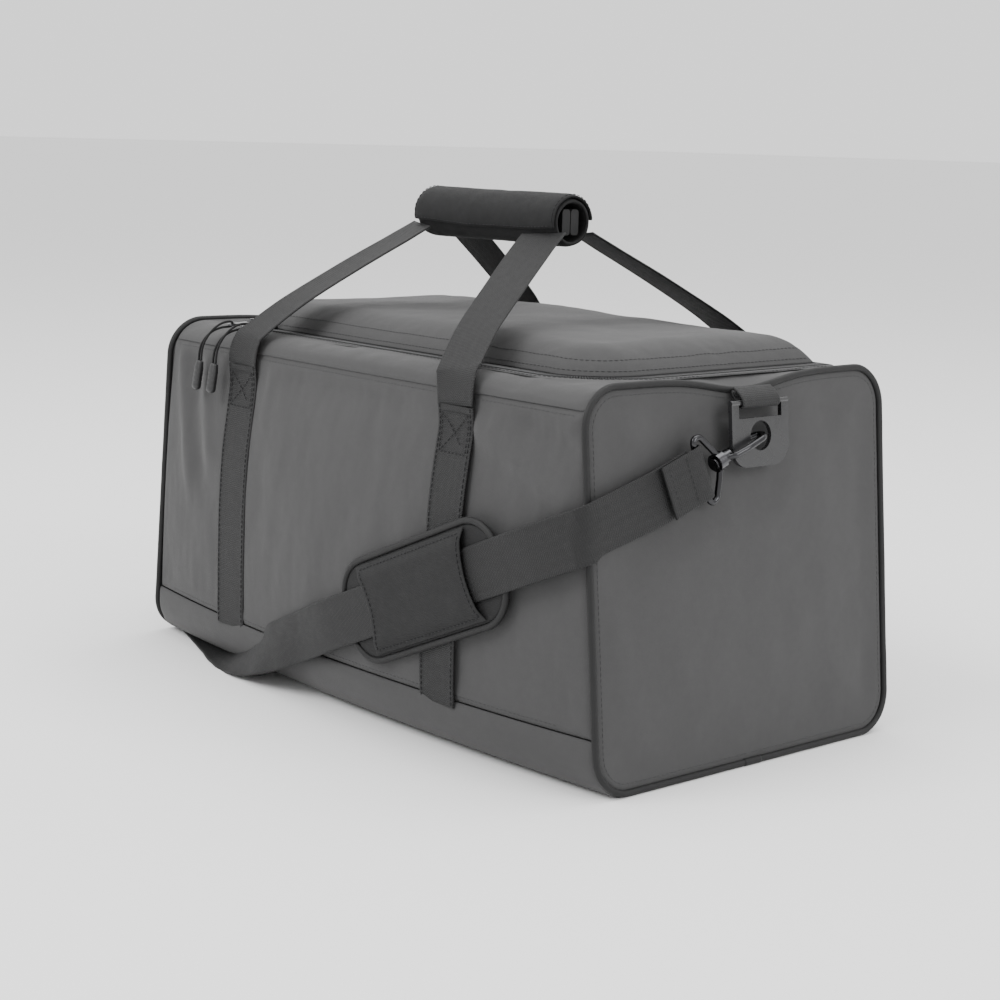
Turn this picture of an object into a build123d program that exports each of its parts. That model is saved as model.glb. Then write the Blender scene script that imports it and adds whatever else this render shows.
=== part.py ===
"""Soft duffel bag with a zipped lid flap, wrapped carry handles and a clip-on shoulder strap.

Frame, in millimetres: +X runs along the bag's length, the front faces -Y, +Z is up, and the
origin is on the floor under the middle of the bottom.
Each sub-part is written to its own STEP file in parts/.
"""
import os
from math import atan, cos, pi, radians, sin, tan

from build123d import *

# ---------------------------------------------------------------- driving dimensions
LENGTH = 560.0            # over the piping, along the floor
END_HALF_WIDTH = 143.0    # half width of the body at its ends
MID_HALF_WIDTH = 165.0    # half width at mid length, where the long sides bulge
TOP_Z = 268.0             # flat deck that the zip runs in
END_LEAN = 0.10           # each end leans inward by this much per unit of height
SKIN = 2.4                # fabric, backing and lining together
BOTTOM_SKIN = 4.0         # padded bottom
SIDE_SEAM_Z = 40.0        # seam between the bottom panel and the front and back
TOP_SEAM_Z = 254.0        # seam between the front and back and the top surround
END_X = LENGTH / 2        # where the two end sections of the body stand
END_CORNER_R = 28.0
MID_BOTTOM_R = 40.0
FOLD_HALF_WIDTH = 147.0   # half width at the top fold, at mid length
MID_FOLD_Z = 252.0        # height of the top fold, at mid length
DECK_HALF_WIDTH = 131.0   # half width of the flat deck, at mid length
BELLY_SHARE = 0.12        # how far towards the fold's width the side has come at its mid height
BELLY_ROUND = 0.8

PIPING_R = 2.5
PIPING_HALF_WIDTH = 145.0
PIPING_X = END_X - PIPING_R
FLANGE_T = 1.0            # seam flange of the piping
FLANGE_WIDTH = 11.0
FLANGE_BACK = 3.0         # the flange's inner face, behind the middle of the piping
END_PANEL_T = 2.6

LID_HALF_LENGTH = 222.0   # middle line of the zip
LID_FRONT_Y = -112.0
LID_HINGE_Y = 118.0
LID_CORNER_R = 50.0
LID_TOP_Z = 287.0
LID_EDGE_R = 17.0
ZIP_GAP = 1.0             # half the slot between the two coils
COIL_WIDTH = 3.0
TAPE_WIDTH = 10.0
HINGE_CLEARANCE = 0.4
PARKING_DEPTH = 10.0      # room cut in the lid's coil beside the parked sliders

WEBBING = 38.0            # width of every strap
WEBBING_T = 1.6
STRAP_X = (-136.0, 129.0)     # handle straps, left and right
HANDLE_FOOT_Z = 243.0
GRIP_Z = 363.0
GRIP_X = (-90.0, 76.0)
WRAP_R = 18.5
WRAP_T = 3.0
FLAP_R = 20.8
FLAP_T = 1.7
GRIP_FOLD = (0.4, 8.0)    # inner and outer face of each handle's folded grip
GRIP_HALF_HEIGHT = 9.5

SLIDER_A_TURN = 5.0       # degrees round the zip's front left corner
SLIDER_B_X = -157.0
SLIDER_LENGTH = 14.0
SLIDER_WIDTH = 11.0
PLATE_T = 1.8             # each of a slider's two plates
PULL_PIVOT_Z = TOP_Z + 4.0
TAB_LENGTH = 25.0
TAB_WIDTH = 7.5
TAB_T = 1.4
TAB_TILT = 4.0            # degrees, front edge down
TAB_PIN_R = 1.0
TAB_EYE_Y = -21.0
CORD_R = 0.9
GRIP_SIZE = (9.0, 6.0, 24.0)
GRIP_TOP = (-9.0, -45.2, -30.0)
GRIP_TILT = -9.0

EYE_U = 6.0               # eye of each end ring, in the end panel's own axes
EYE_V = 229.0
RING_W = 10.0             # middle of the ring's plate, out from the piping's plane
RING_BAR_V = 252.0
RING_BAR_R = 2.0
RING_LOW_V = 208.0
RING_WIDTH = 56.0
RING_T = 3.2
EYE_R = 10.2
TAB_GAP = 2.4             # inside of the webbing loop, from the middle of the ring's bar
HOOK_W = 9.5
HOOK_WIRE_R = 2.3
STEM_X = -42.75           # middle of the stem that the hook turns on, from the eye
STEM_R = 3.2
STEM_BORE_R = 3.25
COLLAR_R = 6.4
BAIL_WIRE_R = 2.2
BAIL_REACH = 60.0         # from the ring's eye to the bail's bar
FOLD_R = (2.6, 4.2)       # inside and outside of the webbing folded round the bail's bar
RIGHT_HOOK_TURN = 20.0    # degrees above the horizontal
LEFT_HOOK_TURN = 65.0

PAD_X = 115.0
PAD_Z = 112.0
PAD_LENGTH = 175.0
PAD_WIDTH = 78.0
PAD_CORNER_R = 29.0
PAD_RIM = 5.0             # width of the bound edge
SLEEVE_LENGTH = 122.0
SLEEVE_INSET = 2.0
BITE_R = 40.0             # hollow cut into each end of the sleeve
BITE_OUT = 34.0
STRAP_SLOPE = 23.2        # degrees, across the front
SIDE_TURN = 0.06          # the front face turns away by this much per unit of length at the pad
GROOVE = (1.0, 0.8)       # room that the body leaves round the strap, in width and thickness

ADJUSTER_REACH = 150.0    # from the left ring's eye to the middle of the strap's slide
ADJUSTER_W = 6.0
ADJUSTER_LENGTH = 26.0
ADJUSTER_BAR_X = 11.2

BOARD_SIZE = (516.0, 226.0, 3.0)
BOARD_CORNER_R = 20.0
POCKET_HALF = 150.0
POCKET_Z = (96.0, 196.0)
POCKET_T = 1.6
POCKET_BINDING = (9.0, 2.6)   # height and thickness of the pocket's bound edge

os.makedirs("parts", exist_ok=True)


def save(node, shape):
    """Write one sub-part to parts/NODE.step."""
    solids = shape.solids()
    export_step(solids[0] if len(solids) == 1 else Compound(children=list(solids)), f"parts/{node}.step")


def block(low, high):
    """Box between two corners."""
    size = [b - a for a, b in zip(low, high)]
    middle = [(a + b) / 2 for a, b in zip(low, high)]
    return Pos(*middle) * Box(*size)


# ---------------------------------------------------------------- body shell
def section(x, half_width, bottom_r, fold, deck, inset, floor_z):
    """Closed outline of the body across its length; inset moves the sides and the deck inward."""
    side = half_width - inset
    low_r = bottom_r - inset
    low_y = side - low_r
    low_z = floor_z
    fold_y = fold[0] - inset
    fold_z = fold[1]
    deck_y = deck - inset * 0.4
    top = TOP_Z - inset
    corner = (fold_y - (fold_y - deck_y) * 0.29, fold_z + (top - fold_z) * 0.71)
    belly = (side - (side - fold_y) * BELLY_SHARE + BELLY_ROUND, low_z + (fold_z - low_z) * 0.5)
    dip = low_r * (1 - cos(radians(45)))

    def at(y, z):
        return Vector(x, y, z)

    edges = [Edge.make_line(at(-low_y, low_z), at(low_y, low_z))]
    edges.append(
        Edge.make_three_point_arc(at(low_y, low_z), at(side - dip, low_z + dip), at(side, low_z + low_r))
    )
    edges.append(Edge.make_three_point_arc(at(side, low_z + low_r), at(*belly), at(fold_y, fold_z)))
    edges.append(Edge.make_three_point_arc(at(fold_y, fold_z), at(*corner), at(deck_y, top)))
    edges.append(Edge.make_line(at(deck_y, top), at(-deck_y, top)))
    edges.append(Edge.make_three_point_arc(at(-deck_y, top), at(-corner[0], corner[1]), at(-fold_y, fold_z)))
    edges.append(
        Edge.make_three_point_arc(at(-fold_y, fold_z), at(-belly[0], belly[1]), at(-side, low_z + low_r))
    )
    edges.append(
        Edge.make_three_point_arc(at(-side, low_z + low_r), at(-side + dip, low_z + dip), at(-low_y, low_z))
    )
    return Wire(edges)


def body(inset, floor_z=-1.0):
    """Solid bag shape, lofted from end to end through its bulging middle."""
    end_fold = (END_HALF_WIDTH, TOP_Z - END_CORNER_R)
    end_deck = END_HALF_WIDTH - END_CORNER_R
    mid_fold = (FOLD_HALF_WIDTH, MID_FOLD_Z)
    left = section(-END_X, END_HALF_WIDTH, END_CORNER_R, end_fold, end_deck, inset, floor_z)
    middle = section(0, MID_HALF_WIDTH, MID_BOTTOM_R, mid_fold, DECK_HALF_WIDTH, inset, floor_z)
    right = section(END_X, END_HALF_WIDTH, END_CORNER_R, end_fold, end_deck, inset, floor_z)
    return Solid.make_loft([left, middle, right])


END_PLANE = Plane(origin=(PIPING_X, 0, 0), x_dir=(0, 1, 0), z_dir=(1, 0, END_LEAN))
LEAN_COS = cos(atan(END_LEAN))


def on_end(shape):
    """Carry a shape from the end panel's own axes (u across, v up, w outward) to the right end."""
    return END_PLANE.location * shape


def to_left(shape):
    """Mirror a right-hand shape to the left end."""
    return mirror(shape, about=Plane.YZ)


def between_ends(shape):
    """Trim a body shape to the inner faces of the two piping flanges."""
    reach = 2 * LENGTH
    keep = on_end(Pos(0, 0, -FLANGE_BACK - reach / 2) * Box(reach, reach, reach))
    return shape & keep & to_left(keep)


OUTER = between_ends(body(0.0)) & block((-LENGTH, -LENGTH, 0), (LENGTH, LENGTH, LENGTH))
INNER = body(SKIN, BOTTOM_SKIN)
SHELL = OUTER - INNER


# ---------------------------------------------------------------- zip outline
def zip_area(grow):
    """Plan of the lid's opening, grown outward on its front and two sides."""
    half = LID_HALF_LENGTH + grow
    front = LID_FRONT_Y - grow
    corner = LID_CORNER_R + grow
    dip = corner * (1 - cos(radians(45)))
    back_left = (-half, LID_HINGE_Y)
    back_right = (half, LID_HINGE_Y)
    lines = [
        Line(back_left, (-half, front + corner)),
        ThreePointArc((-half, front + corner), (-half + dip, front + dip), (-half + corner, front)),
        Line((-half + corner, front), (half - corner, front)),
        ThreePointArc((half - corner, front), (half - dip, front + dip), (half, front + corner)),
        Line((half, front + corner), back_right),
        Line(back_right, back_left),
    ]
    return make_face(Curve() + lines)


def deck_prism(area, low_z, high_z):
    """Extrude a plan area between two heights."""
    return Pos(0, 0, low_z) * extrude(area, high_z - low_z)


def zip_strip(outer_grow, inner_grow):
    """Flat strip that follows the zip, at the deck's level."""
    return deck_prism(zip_area(outer_grow) - zip_area(inner_grow), TOP_Z - SKIN, TOP_Z)


def make_shell_panels():
    """Front, back, bottom and top panels of the body."""
    reach = LENGTH
    opening = deck_prism(zip_area(ZIP_GAP + COIL_WIDTH + TAPE_WIDTH), TOP_Z - END_CORNER_R, TOP_Z + 1)
    groove = strap_band(WEBBING + GROOVE[0], WEBBING_T + GROOVE[1])
    save("bottom_panel", (SHELL & block((-reach, -reach, -1), (reach, reach, SIDE_SEAM_Z))) - groove)
    save("front_panel", (SHELL & block((-reach, -reach, SIDE_SEAM_Z), (reach, 0, TOP_SEAM_Z))) - groove)
    save("back_panel", SHELL & block((-reach, 0, SIDE_SEAM_Z), (reach, reach, TOP_SEAM_Z)))
    save("top_surround", (SHELL & block((-reach, -reach, TOP_SEAM_Z), (reach, reach, reach))) - opening)


# ---------------------------------------------------------------- ends and piping
def end_area(inset):
    """Outline of an end panel in its own axes, moved inward by inset."""
    low = PIPING_R + inset
    high = TOP_Z / LEAN_COS - inset
    width = 2 * (PIPING_HALF_WIDTH - inset)
    return Pos(0, (low + high) / 2) * RectangleRounded(width, high - low, END_CORNER_R - inset)


def make_ends():
    """End panels, and the piping with its seam flange."""
    rim = end_area(0).face().outer_wire()
    start = rim.edges()[0]
    circle = Plane(origin=start @ 0, z_dir=start % 0) * Circle(PIPING_R)
    cord = sweep(circle, path=rim)
    flange = Pos(0, 0, -FLANGE_BACK) * extrude(end_area(0) - end_area(FLANGE_WIDTH), FLANGE_T)
    piping = on_end(cord + flange)
    panel = on_end(Pos(0, 0, FLANGE_T - FLANGE_BACK) * extrude(end_area(PIPING_R + 0.2), END_PANEL_T))
    groove = strap_band(WEBBING + GROOVE[0], WEBBING_T + GROOVE[1])
    save("right_end_panel", panel)
    save("left_end_panel", to_left(panel))
    save("right_piping", piping)
    notched = (to_left(piping) - groove).solids().sort_by(SortBy.VOLUME)[-1]
    save("left_piping", notched)


# ---------------------------------------------------------------- lid and zip
def make_lid():
    """Raised lid flap with its own tape and coil, and the matching pair on the body."""
    tape_in = ZIP_GAP + COIL_WIDTH
    tape_out = tape_in + TAPE_WIDTH
    behind = block((-LENGTH, LID_HINGE_Y - HINGE_CLEARANCE, 0), (LENGTH, LENGTH, LENGTH))
    outer = deck_prism(zip_area(-tape_out), TOP_Z - SKIN, LID_TOP_Z)
    outer = fillet(outer.faces().sort_by(Axis.Z)[-1].edges(), LID_EDGE_R)
    inner = deck_prism(zip_area(-tape_out - SKIN), 0, LID_TOP_Z - SKIN)
    inner = inner & block((-LENGTH, -LENGTH, 0), (LENGTH, LID_HINGE_Y - SKIN, LENGTH))
    inner = fillet(inner.faces().sort_by(Axis.Z)[-1].edges(), LID_EDGE_R - SKIN)
    save("lid_panel", (outer - inner) - behind)
    save("zipper_tape_lid", zip_strip(-tape_in, -tape_out) - behind)
    coil = zip_strip(-ZIP_GAP, -tape_in) - behind
    low = (-LID_HALF_LENGTH, LID_FRONT_Y, 0)
    high = (SLIDER_B_X + SLIDER_LENGTH, LID_FRONT_Y + PARKING_DEPTH, LENGTH)
    save("zipper_coil_lid", coil - block(low, high) - corner_parking())
    save("zipper_coil_body", zip_strip(tape_in, ZIP_GAP))
    save("zipper_tape_body", zip_strip(tape_out, tape_in))


def corner_centre():
    """Centre of the zip's front left corner, in plan."""
    return (-LID_HALF_LENGTH + LID_CORNER_R, LID_FRONT_Y + LID_CORNER_R)


def corner_parking():
    """Room on the lid's side of the corner for the parked slider."""
    cx, cy = corner_centre()
    return block((cx - SLIDER_LENGTH, cy - LID_CORNER_R, 0), (cx, cy - LID_CORNER_R + PARKING_DEPTH, LENGTH))


def slider_body():
    """Slider at the origin on a zip that runs along X: two plates, a post and a bridge for the pull."""
    coil_low = TOP_Z - SKIN
    upper = Pos(0, 0, TOP_Z + 1.5) * Box(SLIDER_LENGTH, SLIDER_WIDTH, PLATE_T)
    upper = fillet(upper.edges().filter_by(Axis.Z), 3.0)
    lower = Pos(0, 0, coil_low - 1.6) * Box(SLIDER_LENGTH, SLIDER_WIDTH, PLATE_T)
    lower = fillet(lower.edges().filter_by(Axis.Z), 3.0)
    post = Pos(0, 0, (TOP_Z + coil_low) / 2) * Box(5.0, 1.1, SKIN + 3.4)
    bridge = Pos(0, 0, TOP_Z + 4.4) * Box(3.0, 10.0, 4.6)
    slot = Pos(0, 0, TOP_Z + 4.0) * Box(3.2, 6.0, 2.6)
    return upper + lower + post + (bridge - slot)


# Cord loop from the pull's pivot: out of the grip, over the tab's end, down through its eye and back.
PULL_ROUTE = [
    (-6.9, -45.2, -30.0), (-6.2, -45.4, -22.2), (-4.7, -43.0, -13.6), (-2.5, -37.2, -5.0), (-0.7, -29.6, 0.4),
    (0.4, -21.0, 1.4), (-0.3, -21.0, -3.3), (-2.2, -28.8, -3.4), (-4.9, -37.2, -6.8), (-7.6, -43.4, -14.4),
    (-10.2, -45.4, -22.8), (-11.1, -45.2, -30.0),
]


ARC_SHARE = 0.45          # most of a straight run that the arc at its end may take


def corner_radii(points):
    """Largest arcs that the straight runs allow at each inner corner of a route."""
    radii = []
    for before, here, after in zip(points, points[1:], points[2:]):
        run_in = Vector(*here) - Vector(*before)
        run_out = Vector(*after) - Vector(*here)
        turn = radians(run_in.get_angle(run_out))
        radii.append(ARC_SHARE * min(run_in.length, run_out.length) / tan(turn / 2))
    return radii


def cord_tube(points, radius, label):
    """Round tube along straight runs joined by tangent arcs."""
    radii = corner_radii(points)
    path = FilletPolyline(*points, radius=radii)
    start = path.edges()[0]
    tube = sweep(Plane(origin=path @ 0, z_dir=path % 0) * Circle(radius), path=path)
    expected = pi * radius ** 2 * path.length
    print(label, "length", round(path.length, 1), "smallest radius", round(min(radii), 2),
          "volume ratio", round(tube.volume / expected, 3), "first run", round(start.length, 1))
    return tube


def make_pull(letter, place):
    """Metal tab, cord loop and moulded grip that hang from one slider; place carries them to it."""
    tab = Pos(0, -TAB_LENGTH / 2, 0) * Box(TAB_WIDTH, TAB_LENGTH, TAB_T)
    tab = fillet(tab.edges().filter_by(Axis.Z).sort_by(Axis.Y)[:2], 3.4)
    tab = tab - Pos(0, -4.5, 0) * Box(4.2, 7.0, 4)
    tab = tab - Pos(0, TAB_EYE_Y, 0) * Box(4.4, 4.4, 4)
    pin = Rot(0, 90, 0) * Cylinder(TAB_PIN_R, TAB_WIDTH)
    cord = cord_tube(PULL_ROUTE, CORD_R, f"pull_cord_{letter}")
    width, depth, height = GRIP_SIZE
    grip = Pos(0, 0, -height / 2) * Box(width, depth, height)
    grip = fillet(grip.edges().filter_by(Axis.Z), 2.6)
    grip = Location(GRIP_TOP, (GRIP_TILT, 0, 0)) * grip
    save(f"pull_tab_{letter}", place * Rot(TAB_TILT, 0, 0) * (tab + pin))
    save(f"pull_cord_{letter}", place * (cord - grip))
    save(f"pull_end_{letter}", place * grip)


def make_sliders():
    """Two sliders that meet at the zip's front left corner, each with its pull."""
    cx, cy = corner_centre()
    turn = Pos(cx, cy, 0) * Rot(0, 0, -SLIDER_A_TURN)
    at_a = turn * Pos(0, -LID_CORNER_R, 0)
    at_b = Pos(SLIDER_B_X, LID_FRONT_Y, 0)
    save("slider_a", at_a * slider_body())
    save("slider_b", at_b * slider_body())
    make_pull("a", at_a * Pos(0, 0, PULL_PIVOT_Z))
    make_pull("b", at_b * Pos(0, 0, PULL_PIVOT_Z))


# ---------------------------------------------------------------- flat strap bands
def band(stations, width, thickness):
    """Flat webbing through stations of (centre, direction across the width)."""
    wires = []
    for i, (centre, across) in enumerate(stations):
        before = Vector(*stations[max(i - 1, 0)][0])
        after = Vector(*stations[min(i + 1, len(stations) - 1)][0])
        along = (after - before).normalized()
        wide = Vector(*across)
        wide = (wide - along * wide.dot(along)).normalized() * (width / 2)
        thick = along.cross(wide).normalized() * (thickness / 2)
        middle = Vector(*centre)
        corners = [middle - wide - thick, middle + wide - thick, middle + wide + thick, middle - wide + thick]
        wires.append(Wire.make_polygon(corners))
    return Solid.make_loft(wires, ruled=True)


def end_point(u, v, w, left=False):
    """Point of the right or left end, from the end panel's own axes."""
    point = END_PLANE.from_local_coords(Vector(u, v, w))
    return (-point.X if left else point.X, point.Y, point.Z)


PAD_PLANE = Plane(
    origin=(PAD_X, -(MID_HALF_WIDTH - (MID_HALF_WIDTH - END_HALF_WIDTH) * (PAD_X / END_X) ** 2), PAD_Z),
    x_dir=(cos(radians(STRAP_SLOPE)), SIDE_TURN * cos(radians(STRAP_SLOPE)), sin(radians(STRAP_SLOPE))),
    z_dir=(SIDE_TURN, -1, 0),
)
PAD_BASE_W = (2.4, 5.6)       # out from the front face
PAD_STRAP_W = 6.9             # middle of the strap
PAD_SLEEVE_W = (8.2, 9.5)


def pad_point(along, across=0.0, out=PAD_STRAP_W):
    """Point in the pad's own axes."""
    point = PAD_PLANE.from_local_coords(Vector(along, across, out))
    return (point.X, point.Y, point.Z)


def bail_bar(turn, left=False):
    """Centre of a bail's bar and the direction along it, for a hook turned by turn degrees."""
    u = EYE_U - BAIL_REACH * cos(radians(turn))
    v = EYE_V - BAIL_REACH * sin(radians(turn))
    tip = (u - sin(radians(turn)), v + cos(radians(turn)))
    centre = end_point(u, v, HOOK_W, left)
    end = end_point(tip[0], tip[1], HOOK_W, left)
    return centre, tuple(b - a for a, b in zip(centre, end))


def along_end(turn, reach, w, left=False):
    """Point on the strap's line on an end, reach from the ring's eye."""
    u = EYE_U - reach * cos(radians(turn))
    v = EYE_V - reach * sin(radians(turn))
    return end_point(u, v, w, left)


def strap_stations():
    """Route of the shoulder strap from the right bail, over the front and the floor, to the left bail."""
    right_across = bail_bar(RIGHT_HOOK_TURN)[1]
    left_across = bail_bar(LEFT_HOOK_TURN, True)[1]
    pad_across = tuple(PAD_PLANE.y_dir)
    return [
        (along_end(RIGHT_HOOK_TURN, BAIL_REACH + 7, 8.6), right_across),
        (along_end(RIGHT_HOOK_TURN, BAIL_REACH + 40, 6.5), right_across),
        (end_point(-130, 183.5, 5.4), (0, -0.32, 0.95)),
        (end_point(-143, 179.5, 4.9), (0, -0.32, 0.95)),
        ((262.6, -151.0, 175.2), (-0.20, -0.20, 0.95)),
        ((256.0, -154.2, 172.4), (-0.39, 0, 0.92)),
        (pad_point(116), pad_across),
        (pad_point(-112), pad_across),
        ((-28.0, -170.2, 50.0), (-0.36, 0.02, 0.92)),
        ((-60.0, -169.5, 36.5), (-0.30, 0.16, 0.90)),
        ((-92.0, -165.5, 24.0), (-0.16, 0.42, 0.82)),
        ((-124.0, -157.5, 13.0), (0.0, 0.70, 0.60)),
        ((-156.0, -146.5, 4.6), (0.14, 0.95, 0.18)),
        ((-184.0, -136.0, 1.5), (0.33, 0.94, 0.0)),
        ((-212.0, -126.0, 1.1), (0.33, 0.94, 0.0)),
        ((-248.0, -113.5, 1.1), (0.35, 0.94, 0.0)),
        ((-281.0, -102.0, 1.2), (0.36, 0.93, 0.05)),
        ((-286.0, -99.8, 3.6), (0.2, 0.93, 0.25)),
        (along_end(LEFT_HOOK_TURN, 234, 6.6, True), left_across),
        (along_end(LEFT_HOOK_TURN, BAIL_REACH + 42, 6.0, True), left_across),
        (along_end(LEFT_HOOK_TURN, BAIL_REACH + 7, 8.6, True), left_across),
    ]


def strap_band(width, thickness):
    """The whole strap as one band of the given section."""
    return band(strap_stations(), width, thickness)


def make_strap():
    """Shoulder strap, and the folded end that holds each bail."""
    save("shoulder_strap", strap_band(WEBBING, WEBBING_T) - OUTER)


# ---------------------------------------------------------------- end rings, hooks and bails
def make_ring_tab():
    """Webbing loop, sewn into the top seam, that the ring's bar hangs in."""
    bar = RING_W
    gap = TAB_GAP
    outer_points = [
        (0.6, 266.0), (0.6, 258.0), (bar - gap - WEBBING_T, RING_BAR_V - 1.0),
        (bar - gap - WEBBING_T, RING_BAR_V - gap - WEBBING_T),
        (bar + gap + WEBBING_T, RING_BAR_V - gap - WEBBING_T),
        (bar + gap + WEBBING_T, RING_BAR_V + 3.0), (4.0, 266.0),
    ]
    inner_points = [
        (bar - gap, RING_BAR_V - 0.5), (bar - gap, RING_BAR_V - gap), (bar + gap, RING_BAR_V - gap),
        (bar + gap, RING_BAR_V + 2.6), (bar - gap + 1.0, RING_BAR_V + 5.2),
    ]
    profile = make_face(Polyline(*outer_points, close=True)) - make_face(Polyline(*inner_points, close=True))
    across = Plane(origin=(EYE_U + WEBBING / 2, 0, 0), x_dir=(0, 0, 1), z_dir=(-1, 0, 0))
    return extrude(across.location * profile, WEBBING)


def make_ring():
    """Moulded ring: a bar in the webbing loop, a slot, and a plate with a round eye."""
    plate = Box(RING_WIDTH, RING_BAR_V - RING_LOW_V, RING_T)
    plate = Pos(EYE_U, (RING_LOW_V + RING_BAR_V) / 2, RING_W) * plate
    plate = fillet(plate.edges().filter_by(Axis.Z).sort_by(Axis.Y)[:2], 15.0)
    slot = Pos(EYE_U, RING_BAR_V - 4.5, RING_W) * Box(42.0, 12.0, 10.0)
    eye = Pos(EYE_U, EYE_V, RING_W) * Cylinder(EYE_R, 10.0)
    bar = Pos(EYE_U, RING_BAR_V, RING_W) * Rot(0, 90, 0) * Cylinder(RING_BAR_R, RING_WIDTH)
    return (plate - slot - eye) + bar


def hook_frame(turn):
    """Location of a hook: its own +X runs from the bail to the ring's eye."""
    return Location((EYE_U, EYE_V, 0), (0, 0, turn))


def make_hook():
    """Snap hook in its own axes, with the eye at the origin and the shank towards -X."""
    outer_w = 17.0
    nose_w = 3.9
    points = [
        (-37.0, 0, HOOK_W), (-32.0, 0, outer_w - 1.0), (-20.0, 0, outer_w + 0.3), (-3.0, 0, outer_w - 0.2),
        (4.2, 0, HOOK_W), (-3.0, 0, nose_w), (-11.0, 0, nose_w),
    ]
    path = FilletPolyline(*points, radius=[3.5, 12.0, 6.0, 5.0, 5.0])
    wire = sweep(Plane(origin=path @ 0, z_dir=path % 0) * Circle(HOOK_WIRE_R), path=path)
    barrel = Pos(-35.5, 0, HOOK_W) * Rot(0, 90, 0) * Cylinder(4.6, 7.0)
    heel = Pos(-33.0, 0, 6.4) * Box(4.0, 4.2, 5.0)
    stem = Pos(STEM_X, 0, HOOK_W) * Rot(0, 90, 0) * Cylinder(STEM_R, 7.6)
    head = Pos(-47.3, 0, HOOK_W) * Rot(0, 90, 0) * Cylinder(4.4, 1.6)
    return wire + barrel + heel + stem + head


def make_gate():
    """Sprung gate that closes the hook behind the ring."""
    low_w = 3.7
    return Pos(-21.5, 0, low_w) * fillet(Box(18.0, 3.4, 2.6).edges().filter_by(Axis.X), 0.8)


def make_bail():
    """Triangular loop of round wire with a collar that the hook's stem turns in."""
    half = WEBBING / 2 + 5.0
    axle = Pos(STEM_X, 0, HOOK_W) * Rot(0, 90, 0)
    half_route = [(STEM_X, 5.0), (-46.0, 11.0), (-53.0, half - 1.6), (-BAIL_REACH, half)]
    route = [(a, b, HOOK_W) for a, b in half_route]
    route += [(a, -b, HOOK_W) for a, b in reversed(half_route)]
    path = FilletPolyline(*route, radius=[3.0, 4.0, 3.2, 3.2, 4.0, 3.0])
    wire = sweep(Plane(origin=path @ 0, z_dir=path % 0) * Circle(BAIL_WIRE_R), path=path)
    return (wire + axle * Cylinder(COLLAR_R, COLLAR_R)) - axle * Cylinder(STEM_BORE_R, 8.0)


def make_strap_end():
    """Webbing folded round the bail's bar and sewn back on itself."""
    inner_r, outer_r = FOLD_R
    around_bar = Pos(-BAIL_REACH, 0, HOOK_W) * Rot(90, 0, 0)
    bore = around_bar * Cylinder(inner_r, WEBBING + 2)
    fold = around_bar * Cylinder(outer_r, WEBBING)
    tongue = Pos(-BAIL_REACH - 18.4, 0, HOOK_W + 1.55) * Box(30.0, WEBBING, WEBBING_T * 1.6)
    return (fold + tongue) - bore


def make_end_hardware():
    """Ring tab, ring, hook, gate and bail on each end."""
    strap = strap_band(WEBBING + 0.02, WEBBING_T + 0.02)
    for side, turn in (("right", RIGHT_HOOK_TURN), ("left", LEFT_HOOK_TURN)):
        pieces = {
            "ring_tab": make_ring_tab(),
            "ring": make_ring(),
            "hook": hook_frame(turn) * make_hook(),
            "gate": hook_frame(turn) * make_gate(),
            "bail": hook_frame(turn) * make_bail(),
            "strap_end": hook_frame(turn) * make_strap_end(),
        }
        for name, shape in pieces.items():
            placed = on_end(shape)
            if side == "left":
                placed = to_left(placed)
            if name == "strap_end":
                placed = placed - strap
            save(f"{side}_{name}", placed)


# ---------------------------------------------------------------- handles
def make_sewn_straps():
    """Handle straps sewn down the front and the back."""
    for face, side in (("front", -1), ("back", 1)):
        for name, x in zip(("left", "right"), STRAP_X):
            near = block((x - WEBBING / 2, -LENGTH, SIDE_SEAM_Z), (x + WEBBING / 2, 0, HANDLE_FOOT_Z))
            layer = (body(-WEBBING_T) - OUTER) & near
            shape = layer if side < 0 else mirror(layer, about=Plane.XZ)
            save(f"{face}_strap_{name}", shape)


def leg_stations(x, grip_x, lean):
    """Route of a handle leg from its seam at the top fold up to the grip."""
    return [
        ((x, -150.6, HANDLE_FOOT_Z + 0.4), (1, 0, 0)),
        ((x + lean * 0.02, -149.8, 256.0), (1, 0, 0)),
        ((x + lean * 0.12, -142.0, 273.0), (1, 0, 0)),
        ((x + lean * 0.52, -80.0, 318.0), (1, 0, 0)),
        ((x + lean * 0.88, -30.0, 348.0), (1, 0, 0.1)),
        ((grip_x, -9.0, GRIP_Z), (1, 0, 0)),
    ]


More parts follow.
